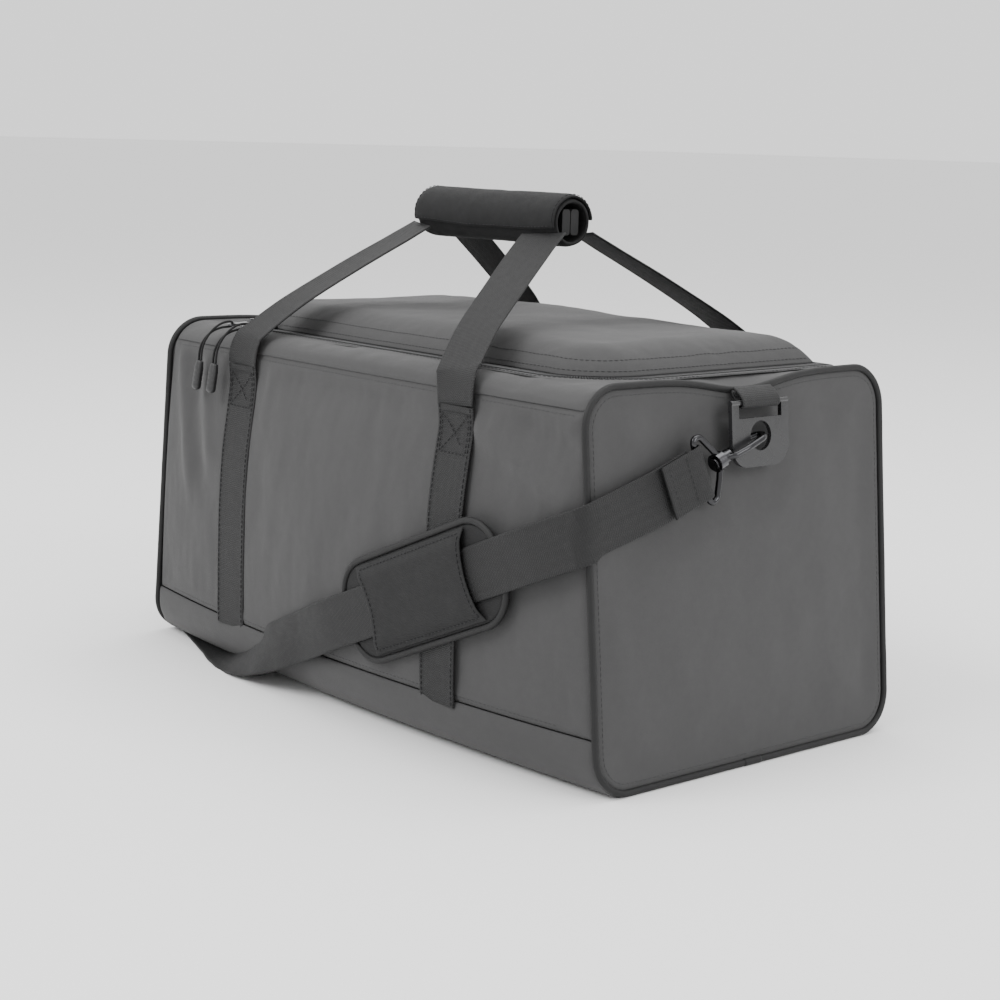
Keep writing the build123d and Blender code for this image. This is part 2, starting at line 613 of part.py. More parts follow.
def make_handles():
    """Two webbing handles whose grips are bound together by a wrap."""
    inner = GRIP_X[0] + WEBBING / 2 - 6, GRIP_X[1] - WEBBING / 2 + 6
    clear = Pos(0, 0, GRIP_Z) * Rot(0, 90, 0) * Cylinder(FLAP_R + 0.4, 2 * LENGTH)
    for face, side in (("front", -1), ("back", 1)):
        for name, x, grip_x in zip(("left", "right"), STRAP_X, inner):
            leg = band(leg_stations(x, grip_x, grip_x - x), WEBBING, WEBBING_T) - OUTER
            leg = (leg - clear).solids().sort_by(SortBy.VOLUME)[-1]
            save(f"{face}_leg_{name}", leg if side < 0 else mirror(leg, about=Plane.XZ))
        low = (GRIP_X[0] + 3, GRIP_FOLD[0], GRIP_Z - GRIP_HALF_HEIGHT)
        high = (GRIP_X[1] - 3, GRIP_FOLD[1], GRIP_Z + GRIP_HALF_HEIGHT)
        grip = block(low, high)
        grip = fillet(grip.edges().filter_by(Axis.X), 2.5)
        save(f"{face}_grip", mirror(grip, about=Plane.XZ) if side < 0 else grip)
    length = GRIP_X[1] - GRIP_X[0]
    middle = Pos((GRIP_X[0] + GRIP_X[1]) / 2, 0, GRIP_Z) * Rot(0, 90, 0)
    save("wrap_base", middle * (Cylinder(WRAP_R, length) - Cylinder(WRAP_R - WRAP_T, length + 2)))
    flap = middle * (Cylinder(FLAP_R, length) - Cylinder(FLAP_R - FLAP_T, length + 2))
    save("wrap_flap", flap & block((-LENGTH, -LENGTH, GRIP_Z), (LENGTH, LENGTH, LENGTH)))


# ---------------------------------------------------------------- shoulder pad and adjuster
def pad_shape(length, width, corner, low_w, high_w):
    """Rounded slab in the pad's plane."""
    slab = extrude(RectangleRounded(length, width, corner), high_w - low_w)
    return PAD_PLANE.location * (Pos(0, 0, low_w) * slab)


def on_pad(length, width, low_w, high_w):
    """Plain block on the pad, between two distances from the front face, in the pad's own axes."""
    return Pos(0, 0, (low_w + high_w) / 2) * Box(length, width, high_w - low_w)


def make_pad():
    """Shoulder pad: cushioned base, bound edge and the sleeve that the strap runs through."""
    low, high = PAD_BASE_W
    core = (PAD_LENGTH - 2 * PAD_RIM, PAD_WIDTH - 2 * PAD_RIM, PAD_CORNER_R - PAD_RIM)
    binding = pad_shape(PAD_LENGTH, PAD_WIDTH, PAD_CORNER_R, low, high + 0.4)
    sleeve = on_pad(SLEEVE_LENGTH, core[1] - 2 * SLEEVE_INSET, high, PAD_SLEEVE_W[1])
    channel = on_pad(SLEEVE_LENGTH + 2, WEBBING + 2, high - 1, PAD_SLEEVE_W[0])
    bites = [Pos(side * (SLEEVE_LENGTH / 2 + BITE_OUT), 0, 0) * Cylinder(BITE_R, 60.0) for side in (-1, 1)]
    save("pad_base", pad_shape(*core, low, high))
    save("pad_binding", binding - pad_shape(*core, 0, 20))
    save("pad_sleeve", PAD_PLANE.location * (sleeve - channel - bites[0] - bites[1]))


def make_adjuster():
    """Three-bar slide on the strap's left stretch; the strap runs under its outer bars."""
    bar_length = WEBBING + 9
    side_y = WEBBING / 2 + 3.2
    frame = Pos(0, 0, ADJUSTER_W - 2.45) * Box(4.0, bar_length, 2.0)
    for side in (-1, 1):
        frame += Pos(0, side * side_y, ADJUSTER_W) * Box(ADJUSTER_LENGTH, 4.0, 6.6)
        frame += Pos(side * ADJUSTER_BAR_X, 0, ADJUSTER_W + 2.55) * Box(3.6, bar_length, 2.0)
    u = EYE_U - ADJUSTER_REACH * cos(radians(LEFT_HOOK_TURN))
    v = EYE_V - ADJUSTER_REACH * sin(radians(LEFT_HOOK_TURN))
    return to_left(on_end(Location((u, v, 0), (0, 0, LEFT_HOOK_TURN)) * frame))


# ---------------------------------------------------------------- inside
def back_wall_layer(thickness, low_z, high_z):
    """Layer on the inside of the back wall, over the pocket's length."""
    box = block((-POCKET_HALF, 0, low_z), (POCKET_HALF, LENGTH, high_z))
    return (body(SKIN) - body(SKIN + thickness)) & box


def make_inside():
    """Stiff base board, and a mesh pocket with a bound top edge on the back wall."""
    board = Pos(0, 0, BOTTOM_SKIN + 1.8) * Box(*BOARD_SIZE)
    save("base_board", fillet(board.edges().filter_by(Axis.Z), BOARD_CORNER_R))
    low_z, high_z = POCKET_Z
    save("mesh_pocket", back_wall_layer(POCKET_T, low_z, high_z))
    save("pocket_binding", back_wall_layer(POCKET_BINDING[1], high_z, high_z + POCKET_BINDING[0]))


make_shell_panels()
make_ends()
make_lid()
make_sliders()
make_strap()
make_end_hardware()
make_sewn_straps()
make_handles()
make_pad()
save("strap_adjuster", make_adjuster())
make_inside()
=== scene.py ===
"""Looks of the duffel bag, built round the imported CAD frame. Metres, +X along the bag, front towards -Y."""

import bisect
import math
import random

import bmesh
import bpy
from mathutils import Matrix, Vector, noise
from mathutils.bvhtree import BVHTree


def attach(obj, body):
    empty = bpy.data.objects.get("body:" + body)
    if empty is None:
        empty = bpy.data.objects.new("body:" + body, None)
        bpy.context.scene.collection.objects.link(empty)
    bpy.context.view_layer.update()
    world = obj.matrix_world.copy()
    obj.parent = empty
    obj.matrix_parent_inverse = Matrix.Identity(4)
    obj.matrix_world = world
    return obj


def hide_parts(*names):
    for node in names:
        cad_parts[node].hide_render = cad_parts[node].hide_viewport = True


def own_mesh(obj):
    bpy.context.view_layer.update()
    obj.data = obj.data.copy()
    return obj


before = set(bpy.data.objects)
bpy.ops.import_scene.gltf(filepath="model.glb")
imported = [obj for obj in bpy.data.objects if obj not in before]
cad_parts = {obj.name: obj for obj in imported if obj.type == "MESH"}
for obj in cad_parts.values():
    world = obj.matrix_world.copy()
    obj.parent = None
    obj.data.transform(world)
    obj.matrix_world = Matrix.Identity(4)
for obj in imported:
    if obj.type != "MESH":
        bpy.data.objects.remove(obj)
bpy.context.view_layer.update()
MM = 0.001

# ---------------------------------------------------------------- shape of the bag, as in the CAD model
END_X = 280 * MM
END_HALF = 143 * MM
BULGE = 22 * MM                  # how much further out the long sides stand at mid length
TOP = 268 * MM
LEAN = 0.10
PIPE_X = 277.5 * MM
PIPE_R = 2.5 * MM
PIPE_HALF = 145 * MM
CORNER = 28 * MM
SIDE_SEAM = 40 * MM
TOP_SEAM = 254 * MM
ZIP_HALF = 222 * MM
ZIP_FRONT = -112 * MM
HINGE_Y = 118 * MM
ZIP_CORNER = 50 * MM
WEB = 38 * MM
WEB_T = 1.6 * MM
STRAP_X = (-136 * MM, 129 * MM)
GRIP_Z = 363 * MM
WRAP_X = (-90 * MM, 76 * MM)
EYE = (6 * MM, 229 * MM)
BAR_V = 252 * MM
RING_W = 10 * MM
HOOK_W = 9.5 * MM
BAIL_REACH = 60 * MM
HOOK_TURN = {"right": math.radians(20), "left": math.radians(65)}


def mix(a, b, t):
    return a + (b - a) * t


def smooth(t):
    t = min(max(t, 0.0), 1.0)
    return t * t * (3 - 2 * t)


def bell(distance, width):
    return math.exp(-((distance / width) ** 2))


def section(x):
    """Half width, bottom radius, fold and deck of the body at a place along its length."""
    t = 1 - (x / END_X) ** 2
    return {
        "side": END_HALF + BULGE * t,
        "low_r": mix(28, 40, t) * MM,
        "fold": (END_HALF + 4 * MM * t, mix(240, 252, t) * MM),
        "deck": mix(115, 131, t) * MM,
    }


def half_width(x, z):
    """Distance of the long side from the middle plane."""
    s = section(x)
    if z < s["low_r"]:
        up = s["low_r"] - z
        return s["side"] - s["low_r"] + math.sqrt(max(s["low_r"] ** 2 - up ** 2, 0.0))
    fold_y, fold_z = s["fold"]
    if z <= fold_z:
        belly = s["side"] - (s["side"] - fold_y) * 0.12 + 0.8 * MM
        t = (z - s["low_r"]) / (fold_z - s["low_r"])
        return s["side"] * (1 - t) * (1 - 2 * t) + belly * 4 * t * (1 - t) + fold_y * t * (2 * t - 1)
    t = min((z - fold_z) / (TOP - fold_z), 1.0)
    return s["deck"] + (fold_y - s["deck"]) * math.sqrt(max(1 - t * t, 0.0))


def deck_height(x, y):
    """Height of the top between the two long folds."""
    s = section(x)
    fold_y, fold_z = s["fold"]
    t = (abs(y) - s["deck"]) / (fold_y - s["deck"])
    if t <= 0:
        return TOP
    t = min(t, 1.0)
    return fold_z + (TOP - fold_z) * math.sqrt(max(1 - t * t, 0.0))


LEAN_COS = 1 / math.hypot(1, LEAN)
END_AXES = Matrix((
    (0, -LEAN * LEAN_COS, LEAN_COS, PIPE_X),
    (1, 0, 0, 0),
    (0, LEAN_COS, LEAN * LEAN_COS, 0),
    (0, 0, 0, 1),
))
FLIP = Matrix.Diagonal((-1, 1, 1, 1))


def end_matrix(side):
    """From an end panel's own axes (u across, v up, w outward) to the row frame."""
    return END_AXES if side == "right" else FLIP @ END_AXES


def end_edge(z):
    """Where the long panels stop, at a height."""
    return PIPE_X - LEAN * z - 1.2 * MM


# ---------------------------------------------------------------- materials
def new_material(name):
    material = bpy.data.materials.new(name)
    material.use_nodes = True
    tree = material.node_tree
    tree.nodes.clear()
    out = tree.nodes.new("ShaderNodeOutputMaterial")
    shader = tree.nodes.new("ShaderNodeBsdfPrincipled")
    tree.links.new(shader.outputs[0], out.inputs[0])
    return material, tree, shader


def add(tree, kind, inputs=None, **settings):
    """New node with its settings, constants and links; an input that is a socket is linked."""
    node = tree.nodes.new(kind)
    for key, value in settings.items():
        setattr(node, key, value)
    for key, value in (inputs or {}).items():
        if isinstance(value, bpy.types.NodeSocket):
            tree.links.new(value, node.inputs[key])
        else:
            node.inputs[key].default_value = value
    return node


def math_node(tree, operation, first, second=0.0):
    return add(tree, "ShaderNodeMath", {0: first, 1: second}, operation=operation).outputs[0]


def ramp(tree, factor, low, high, dark, light):
    """Colour that goes from dark to light as factor goes from low to high."""
    node = add(tree, "ShaderNodeValToRGB", {0: factor})
    node.color_ramp.elements[0].position = low
    node.color_ramp.elements[1].position = high
    node.color_ramp.elements[0].color = (*dark, 1)
    node.color_ramp.elements[1].color = (*light, 1)
    return node.outputs[0]


def wave(tree, value, period):
    """Sine between 0 and 1 of a length, with a period in metres."""
    turned = math_node(tree, "MULTIPLY", value, 2 * math.pi / period)
    return math_node(tree, "MULTIPLY_ADD", math_node(tree, "SINE", turned), 0.5)


def weave_height(tree, u, v, period, kind):
    """Height of a woven cloth's threads: twill lines, plain weave, or the ribs of webbing."""
    if kind == "twill":
        lines = wave(tree, math_node(tree, "ADD", u, v), period)
        threads = wave(tree, math_node(tree, "SUBTRACT", u, math_node(tree, "MULTIPLY", v, 0.4)), period * 0.55)
        return math_node(tree, "MULTIPLY_ADD", threads, 0.35), lines
    if kind == "rib":
        ribs = wave(tree, v, period)
        zigzag = math_node(tree, "PINGPONG", u, period * 2.2)
        return wave(tree, math_node(tree, "ADD", v, zigzag), period * 1.3), ribs
    return wave(tree, u, period), wave(tree, v, period)


def cloth_material(name, colour, period, kind="plain", bump=0.25, sheen=0.25, spread=0.16, rough=0.82, metres="UV"):
    """Woven cloth: threads in relief, mottled colour, faint dust and a soft sheen."""
    material, tree, shader = new_material(name)
    place = add(tree, "ShaderNodeTexCoord").outputs[metres]
    split = add(tree, "ShaderNodeSeparateXYZ", {0: place})
    first, second = weave_height(tree, split.outputs[0], split.outputs[1], period, kind)
    weave = math_node(tree, "ADD", math_node(tree, "MULTIPLY", first, 0.5), math_node(tree, "MULTIPLY", second, 0.5))
    local = add(tree, "ShaderNodeTexCoord").outputs["Object"]
    broad = add(tree, "ShaderNodeTexNoise", {"Vector": local, "Scale": 9.0, "Detail": 4.0})
    fine = add(tree, "ShaderNodeTexNoise", {"Vector": local, "Scale": 900.0, "Detail": 3.0, "Roughness": 0.7})
    slub = add(tree, "ShaderNodeTexNoise", {"Vector": local, "Scale": 180.0, "Detail": 2.0})
    tone = math_node(tree, "ADD", math_node(tree, "MULTIPLY", weave, 0.42), math_node(tree, "MULTIPLY", fine.outputs[0], 0.38))
    tone = math_node(tree, "ADD", tone, math_node(tree, "MULTIPLY", broad.outputs[0], 0.20))
    dark = tuple(c * (1 - spread * 1.6) for c in colour)
    light = tuple(c * (1 + spread * 1.6) for c in colour)
    tree.links.new(ramp(tree, tone, 0.25, 0.75, dark, light), shader.inputs["Base Color"])
    rough_low = math_node(tree, "MULTIPLY", slub.outputs[0], 0.14)
    tree.links.new(math_node(tree, "ADD", rough_low, rough - 0.07), shader.inputs["Roughness"])
    height = math_node(tree, "ADD", weave, math_node(tree, "MULTIPLY", fine.outputs[0], 0.5))
    relief = add(tree, "ShaderNodeBump", {"Height": height, "Strength": bump, "Distance": period * 0.35})
    tree.links.new(relief.outputs[0], shader.inputs["Normal"])
    shader.inputs["Sheen Weight"].default_value = sheen
    shader.inputs["Sheen Roughness"].default_value = 0.45
    shader.inputs["Specular IOR Level"].default_value = 0.35
    return material


def hard_material(name, colour, metallic, rough, grain=0.06, coat=0.0):
    """Moulded plastic or lacquered metal: fine orange peel, handling marks and paler worn edges."""
    material, tree, shader = new_material(name)
    local = add(tree, "ShaderNodeTexCoord").outputs["Object"]
    peel = add(tree, "ShaderNodeTexNoise", {"Vector": local, "Scale": 1400.0, "Detail": 2.0})
    marks = add(tree, "ShaderNodeTexNoise", {"Vector": local, "Scale": 120.0, "Detail": 6.0, "Roughness": 0.65})
    edge = add(tree, "ShaderNodeNewGeometry").outputs["Pointiness"]
    wear = math_node(tree, "MULTIPLY", math_node(tree, "SUBTRACT", edge, 0.52), 9.0)
    tone = math_node(tree, "ADD", math_node(tree, "MULTIPLY", marks.outputs[0], 0.6), wear)
    light = tuple(min(c * 1.9 + 0.006, 1) for c in colour)
    tree.links.new(ramp(tree, tone, 0.2, 1.0, colour, light), shader.inputs["Base Color"])
    rough_value = math_node(tree, "ADD", math_node(tree, "MULTIPLY", marks.outputs[0], 0.16), rough - 0.06)
    tree.links.new(rough_value, shader.inputs["Roughness"])
    relief = add(tree, "ShaderNodeBump", {"Height": peel.outputs[0], "Strength": grain, "Distance": 0.0002})
    tree.links.new(relief.outputs[0], shader.inputs["Normal"])
    shader.inputs["Metallic"].default_value = metallic
    shader.inputs["Coat Weight"].default_value = coat
    shader.inputs["Coat Roughness"].default_value = 0.12
    return material


GREY = (0.0395, 0.0392, 0.0396)
BLACK = (0.0040, 0.0040, 0.0042)
MATERIALS = {
    "body_fabric": cloth_material("grey_twill", GREY, 0.9 * MM, "twill", bump=0.30, sheen=0.10, spread=0.10),
    "piping": cloth_material("piping_cloth", BLACK, 0.7 * MM, "plain", bump=0.30, sheen=0.02, rough=0.60),
    "webbing": cloth_material("black_webbing", (0.0042, 0.0042, 0.0045), 1.5 * MM, "rib", bump=0.60, sheen=0.02, rough=0.58, spread=0.3),
    "wrap_fabric": cloth_material("wrap_cloth", (0.0040, 0.0040, 0.0043), 0.8 * MM, "twill", bump=0.35, sheen=0.03),
    "pad_fabric": cloth_material("pad_cloth", (0.0038, 0.0038, 0.0041), 1.1 * MM, "plain", bump=0.45, sheen=0.02, rough=0.70),
    "binding": cloth_material("binding_tape", BLACK, 0.9 * MM, "rib", bump=0.40, sheen=0.02, rough=0.58),
    "mesh": cloth_material("pocket_mesh", (0.006, 0.006, 0.0064), 2.4 * MM, "plain", bump=0.9, sheen=0.1),
    "board": hard_material("board_black", (0.022, 0.022, 0.023), 0.0, 0.62, grain=0.3),
    "zip_tape": cloth_material("zip_tape_cloth", (0.0040, 0.0040, 0.0043), 1.0 * MM, "rib", bump=0.45, sheen=0.02, rough=0.60),
    "zip_coil": hard_material("coil_nylon", (0.0055, 0.0055, 0.006), 0.0, 0.34),
    "zip_metal": hard_material("black_lacquer", (0.020, 0.020, 0.022), 0.85, 0.28, coat=0.3),
    "pull_cord": cloth_material("cord_braid", (0.0050, 0.0050, 0.0053), 1.2 * MM, "twill", bump=0.6, sheen=0.02, metres="Object"),
    "pull_grip": hard_material("grip_rubber", (0.0055, 0.0055, 0.006), 0.0, 0.44, grain=0.2),
    "ring_plastic": hard_material("ring_black", (0.0045, 0.0045, 0.005), 0.0, 0.26, coat=0.35),
    "hook_metal": hard_material("black_nickel", (0.035, 0.035, 0.037), 1.0, 0.20, coat=0.2),
    "thread": cloth_material("thread", (0.010, 0.010, 0.011), 0.4 * MM, "plain", bump=0.2, sheen=0.05, metres="Object"),
    "thread_grey": cloth_material("thread_grey", (0.036, 0.036, 0.037), 0.4 * MM, "plain", bump=0.2, sheen=0.05, metres="Object"),
}


# ---------------------------------------------------------------- building meshes
def finish_piece(piece, body, slot, nodes=(), bevel=False):
    """Material from its slot and body of one piece; hides the CAD nodes it stands for."""
    piece.data.materials.clear()
    piece.data.materials.append(MATERIALS[slot])
    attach(piece, body)
    if nodes:
        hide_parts(*nodes)
    return piece


def mesh_piece(name, points, faces, uvs=None, closed=False):
    """Smooth-shaded mesh object from points, faces and one UV per point."""
    mesh = bpy.data.meshes.new(name)
    mesh.from_pydata([tuple(p) for p in points], [], faces)
    if uvs is not None:
        layer = mesh.uv_layers.new(name="metres")
        for loop in mesh.loops:
            layer.data[loop.index].uv = uvs[loop.vertex_index]
    mesh.validate()
    for polygon in mesh.polygons:
        polygon.use_smooth = True
    piece = bpy.data.objects.new(name, mesh)
    bpy.context.scene.collection.objects.link(piece)
    return piece


def grid_piece(name, rows, wrap=False, flip=False):
    """Sheet from rows of (point, uv); wrap joins each row's end to its start."""
    count = len(rows[0])
    points = [p for row in rows for p, _ in row]
    uvs = [uv for row in rows for _, uv in row]
    faces = []
    for r in range(len(rows) - 1):
        for c in range(count if wrap else count - 1):
            d = (c + 1) % count
            face = (r * count + c, r * count + d, (r + 1) * count + d, (r + 1) * count + c)
            faces.append(face[::-1] if flip else face)
    return mesh_piece(name, points, faces, uvs)


def add_modifier(piece, kind, **settings):
    modifier = piece.modifiers.new(kind.lower(), kind)
    for key, value in settings.items():
        setattr(modifier, key, value)
    return modifier


def thicken(piece, thickness, levels=1):
    """Gives a sheet its thickness inward and rounds it."""
    add_modifier(piece, "SOLIDIFY", thickness=thickness, offset=-1.0, use_rim=True)
    if levels:
        add_modifier(piece, "SUBSURF", levels=levels, render_levels=levels)


def eased(count, sharp=0.5):
    """Numbers from 0 to 1 that crowd towards both ends."""
    return [mix(i / count, 0.5 - 0.5 * math.cos(math.pi * i / count), sharp) for i in range(count + 1)]


def fold_noise(point, scale, seed=0.0, stretch=(1, 1, 1)):
    """Soft fabric undulation between about -1 and 1."""
    place = Vector((point[0] * stretch[0], point[1] * stretch[1], point[2] * stretch[2])) * scale
    return noise.fractal(place + Vector((seed, seed * 1.7, -seed)), 0.9, 2.1, 3)


def ridge(px, pz, start, end, width):
    """Height of a soft fold that runs from start to end, both (x, z)."""
    dx, dz = end[0] - start[0], end[1] - start[1]
    length = math.hypot(dx, dz)
    t = ((px - start[0]) * dx + (pz - start[1]) * dz) / length ** 2
    side = abs((px - start[0]) * dz - (pz - start[1]) * dx) / length
    beyond = max(-t, t - 1, 0.0) * length
    return bell(side, width) * bell(beyond, width * 2.2)


def surface_of(piece):
    """Ray-castable surface of a piece as it stands."""
    graph = bpy.context.evaluated_depsgraph_get()
    return BVHTree.FromObject(piece, graph)


# ---------------------------------------------------------------- camera, light and floor
def make_stage():
    """Camera at the reference angle, a pale floor and plain soft light."""
    camera = bpy.data.objects.new("camera", bpy.data.cameras.new("camera"))
    bpy.context.scene.collection.objects.link(camera)
    azimuth, elevation, roll = (math.radians(a) for a in (49.59, 10.37, 1.59))
    target = Vector((0.0, 0.0, 0.145))
    back = Vector((
        math.sin(azimuth) * math.cos(elevation), -math.cos(azimuth) * math.cos(elevation), math.sin(elevation)
    ))
    level = Vector((math.cos(azimuth), math.sin(azimuth), 0.0))
    upright = back.cross(level)
    right = level * math.cos(roll) + upright * math.sin(roll)
    up = back.cross(right)
    place = target + back * 1.559 + right * 0.001 - up * 0.002
    camera.matrix_world = Matrix((
        (right.x, up.x, back.x, place.x), (right.y, up.y, back.y, place.y), (right.z, up.z, back.z, place.z), (0, 0, 0, 1)
    ))
    camera.data.lens = 71.4
    camera.data.sensor_width = 36.0
    camera.data.clip_start = 0.05
    bpy.context.scene.camera = camera

    floor = mesh_piece("floor", [(-60, -60, 0), (60, -60, 0), (60, 60, 0), (-60, 60, 0)], [(0, 1, 2, 3)])
    material, tree, shader = new_material("floor_white")
    shader.inputs["Base Color"].default_value = (0.86, 0.86, 0.86, 1)
    shader.inputs["Roughness"].default_value = 0.9
    floor.data.materials.append(material)

    world = bpy.data.worlds.new("studio")
    world.use_nodes = True
    world.node_tree.nodes["Background"].inputs[0].default_value = (1.0, 1.0, 1.0, 1)
    world.node_tree.nodes["Background"].inputs[1].default_value = 1.35
    bpy.context.scene.world = world
    lamps = (
        ("key", (-0.5, -2.2, 2.4), 1.6, 70.0),
        ("end_fill", (2.6, 0.6, 1.5), 1.4, 34.0),
        ("top", (0.1, 0.6, 2.6), 2.0, 40.0),
    )
    for name, place, size, power in lamps:
        data = bpy.data.lights.new(name, "AREA")
        data.size = size
        data.energy = power
        lamp = bpy.data.objects.new(name, data)
        lamp.location = place
        lamp.rotation_euler = (Vector((0, 0, 0.15)) - Vector(place)).to_track_quat("-Z", "Y").to_euler()
        bpy.context.scene.collection.objects.link(lamp)


make_stage()


# ---------------------------------------------------------------- long panels
def side_dent(x, z, side):
    """How far outward the cloth of a long side stands from the plain shape, with its sag and folds."""
    seed = 3.0 if side < 0 else 11.0
    out = 2.2 * MM * fold_noise((x, 0, z), 9.0, seed, (1.0, 1, 0.7))
    out += 0.8 * MM * fold_noise((x, 0, z), 30.0, seed + 5, (1.4, 1, 0.5))
    under_seam = bell(TOP_SEAM - z, 38 * MM)
    out += 1.5 * MM * under_seam * fold_noise((x, 0, z), 42.0, seed + 9, (1.0, 1, 0.25))
    for strap in STRAP_X:
        out -= 2.0 * MM * bell(x - strap, 24 * MM)
    if side < 0:
        out += 2.6 * MM * ridge(x, z, (-0.232, 0.236), (-0.214, 0.150), 9 * MM)
        out -= 2.4 * MM * ridge(x, z, (-0.214, 0.238), (-0.196, 0.160), 9 * MM)
        out += 2.2 * MM * ridge(x, z, (-0.192, 0.236), (-0.182, 0.178), 8 * MM)
        out += 3.2 * MM * ridge(x, z, (0.150, 0.232), (0.236, 0.196), 10 * MM)
        out -= 3.4 * MM * ridge(x, z, (0.206, 0.238), (0.252, 0.226), 10 * MM)
        out -= 2.4 * MM * ridge(x, z, (-0.060, 0.240), (0.060, 0.236), 12 * MM)
    return out


def edge_pull(distance):
    """How far a seam draws the cloth inward, near the seam."""
    return 1.7 * MM * bell(distance, 3.4 * MM)


def make_long_panel(side):
    """Front or back panel: a bulging sheet with seams drawn in on all four edges."""
    columns, heights = eased(170, 0.35), eased(70, 0.45)
    rows = []
    for q in heights:
        z = mix(SIDE_SEAM, TOP_SEAM, q)
        row = []
        for p in columns:
            x = mix(-end_edge(z), end_edge(z), p)
            near = min(z - SIDE_SEAM, TOP_SEAM - z, end_edge(z) - abs(x))
            calm = smooth(near / (18 * MM))
            y = half_width(x, z) + side_dent(x, z, side) * calm - edge_pull(near)
            row.append(((x, side * y, z), (x, z)))
        rows.append(row)
    name = "front" if side < 0 else "back"
    piece = grid_piece(f"{name}_cloth", rows, flip=side > 0)
    thicken(piece, 1.8 * MM)
    return finish_piece(piece, "root", "body_fabric", [f"{name}_panel"])


FRONT = make_long_panel(-1)
BACK = make_long_panel(1)
FRONT_TREE = surface_of(FRONT)
BACK_TREE = surface_of(BACK)


def side_y(x, z, side):
    """Signed y of the finished long side at a place on it."""
    tree = FRONT_TREE if side < 0 else BACK_TREE
    hit = tree.ray_cast(Vector((x, side * 0.4, z)), Vector((0, -side, 0)))
    return hit[0].y if hit[0] is not None else side * half_width(x, z)


# ---------------------------------------------------------------- strap route over the front and the floor
def along_end(side, reach, w):
    """Place and width direction on a strap's line on an end, reach from the ring's eye."""
    turn = HOOK_TURN[side]
    local = Vector((EYE[0] - reach * math.cos(turn), EYE[1] - reach * math.sin(turn), w))
    across = Vector((-math.sin(turn), math.cos(turn), 0))
    matrix = end_matrix(side)
    return matrix @ local, matrix.to_3x3() @ across


SLOPE = math.radians(23.2)
PAD_MIDDLE = Vector((0.115, -(0.165 - BULGE * (0.115 / END_X) ** 2), 0.112))
PAD_OUT = Vector((0.06, -1, 0)).normalized()
PAD_ALONG = Vector((math.cos(SLOPE), 0.06 * math.cos(SLOPE), math.sin(SLOPE))).normalized()
PAD_ACROSS = PAD_OUT.cross(PAD_ALONG)


def pad_place(a, b, out):
    return PAD_MIDDLE + PAD_ALONG * a + PAD_ACROSS * b + PAD_OUT * out


def strap_route():
    """Stations of the shoulder strap, (place, width direction), from the right bail to the left one."""
    route = [along_end("right", BAIL_REACH + 7 * MM, 8.4 * MM), along_end("right", BAIL_REACH + 40 * MM, 6.4 * MM)]
    right = end_matrix("right")
    route.append((right @ Vector((-0.130, 0.1835, 0.0054)), Vector((0, -0.32, 0.95))))
    route.append((right @ Vector((-0.1435, 0.1795, 0.0047)), Vector((0, -0.32, 0.95))))
    route.append((Vector((0.2622, -0.1512, 0.1750)), Vector((-0.20, -0.20, 0.95))))
    route.append((Vector((0.2545, -0.1546, 0.1718)), Vector((-0.39, 0, 0.92))))
    route.append((pad_place(0.112, 0, 0.0067), PAD_ACROSS))
    route.append((pad_place(0.040, 0, 0.0069), PAD_ACROSS))
    route.append((pad_place(-0.040, 0, 0.0069), PAD_ACROSS))
    route.append((pad_place(-0.110, 0, 0.0067), PAD_ACROSS))
    floor_part = (
        ((-0.0280, -0.1702, 0.0500), (-0.36, 0.02, 0.92)),
        ((-0.0600, -0.1695, 0.0365), (-0.30, 0.16, 0.90)),
        ((-0.0920, -0.1655, 0.0240), (-0.16, 0.42, 0.82)),
        ((-0.1240, -0.1575, 0.0130), (0.0, 0.70, 0.60)),
        ((-0.1560, -0.1465, 0.0048), (0.14, 0.95, 0.18)),
        ((-0.1840, -0.1360, 0.0015), (0.33, 0.94, 0.0)),
        ((-0.2120, -0.1260, 0.0011), (0.33, 0.94, 0.0)),
        ((-0.2480, -0.1135, 0.0011), (0.35, 0.94, 0.0)),
        ((-0.2810, -0.1020, 0.0013), (0.36, 0.93, 0.05)),
        ((-0.2864, -0.0998, 0.0036), (0.2, 0.93, 0.25)),
    )
    route += [(Vector(place), Vector(across)) for place, across in floor_part]
    route.append(along_end("left", 234 * MM, 6.6 * MM))
    route.append(along_end("left", BAIL_REACH + 42 * MM, 6.0 * MM))
    route.append(along_end("left", BAIL_REACH + 7 * MM, 8.4 * MM))
    return route


def spline_points(route, step):
    """Evenly smooth stations along a route of (place, width direction)."""
    stations = []
    for i in range(len(route) - 1):
        p = [route[max(min(i + k, len(route) - 1), 0)][0] for k in (-1, 0, 1, 2)]
        pieces = max(int((p[2] - p[1]).length / step), 1)
        for k in range(pieces):
            t = k / pieces
            across = route[i][1].normalized().lerp(route[i + 1][1].normalized(), smooth(t))
            chord = (p[2] - p[1]).length
            tangents = []
            for before, after, near in ((p[0], p[2], p[1] - p[0]), (p[1], p[3], p[3] - p[2])):
                slope = (after - before)
                size = chord if slope.length == 0 else slope.length
                tangents.append(slope / size * min(chord, near.length if near.length > 0 else chord))
            place = (
                p[1] * (2 * t ** 3 - 3 * t ** 2 + 1) + tangents[0] * (t ** 3 - 2 * t ** 2 + t)
                + p[2] * (-2 * t ** 3 + 3 * t ** 2) + tangents[1] * (t ** 3 - t ** 2)
            )
            stations.append((place, across.normalized()))
    stations.append((route[-1][0], route[-1][1].normalized()))
    return stations


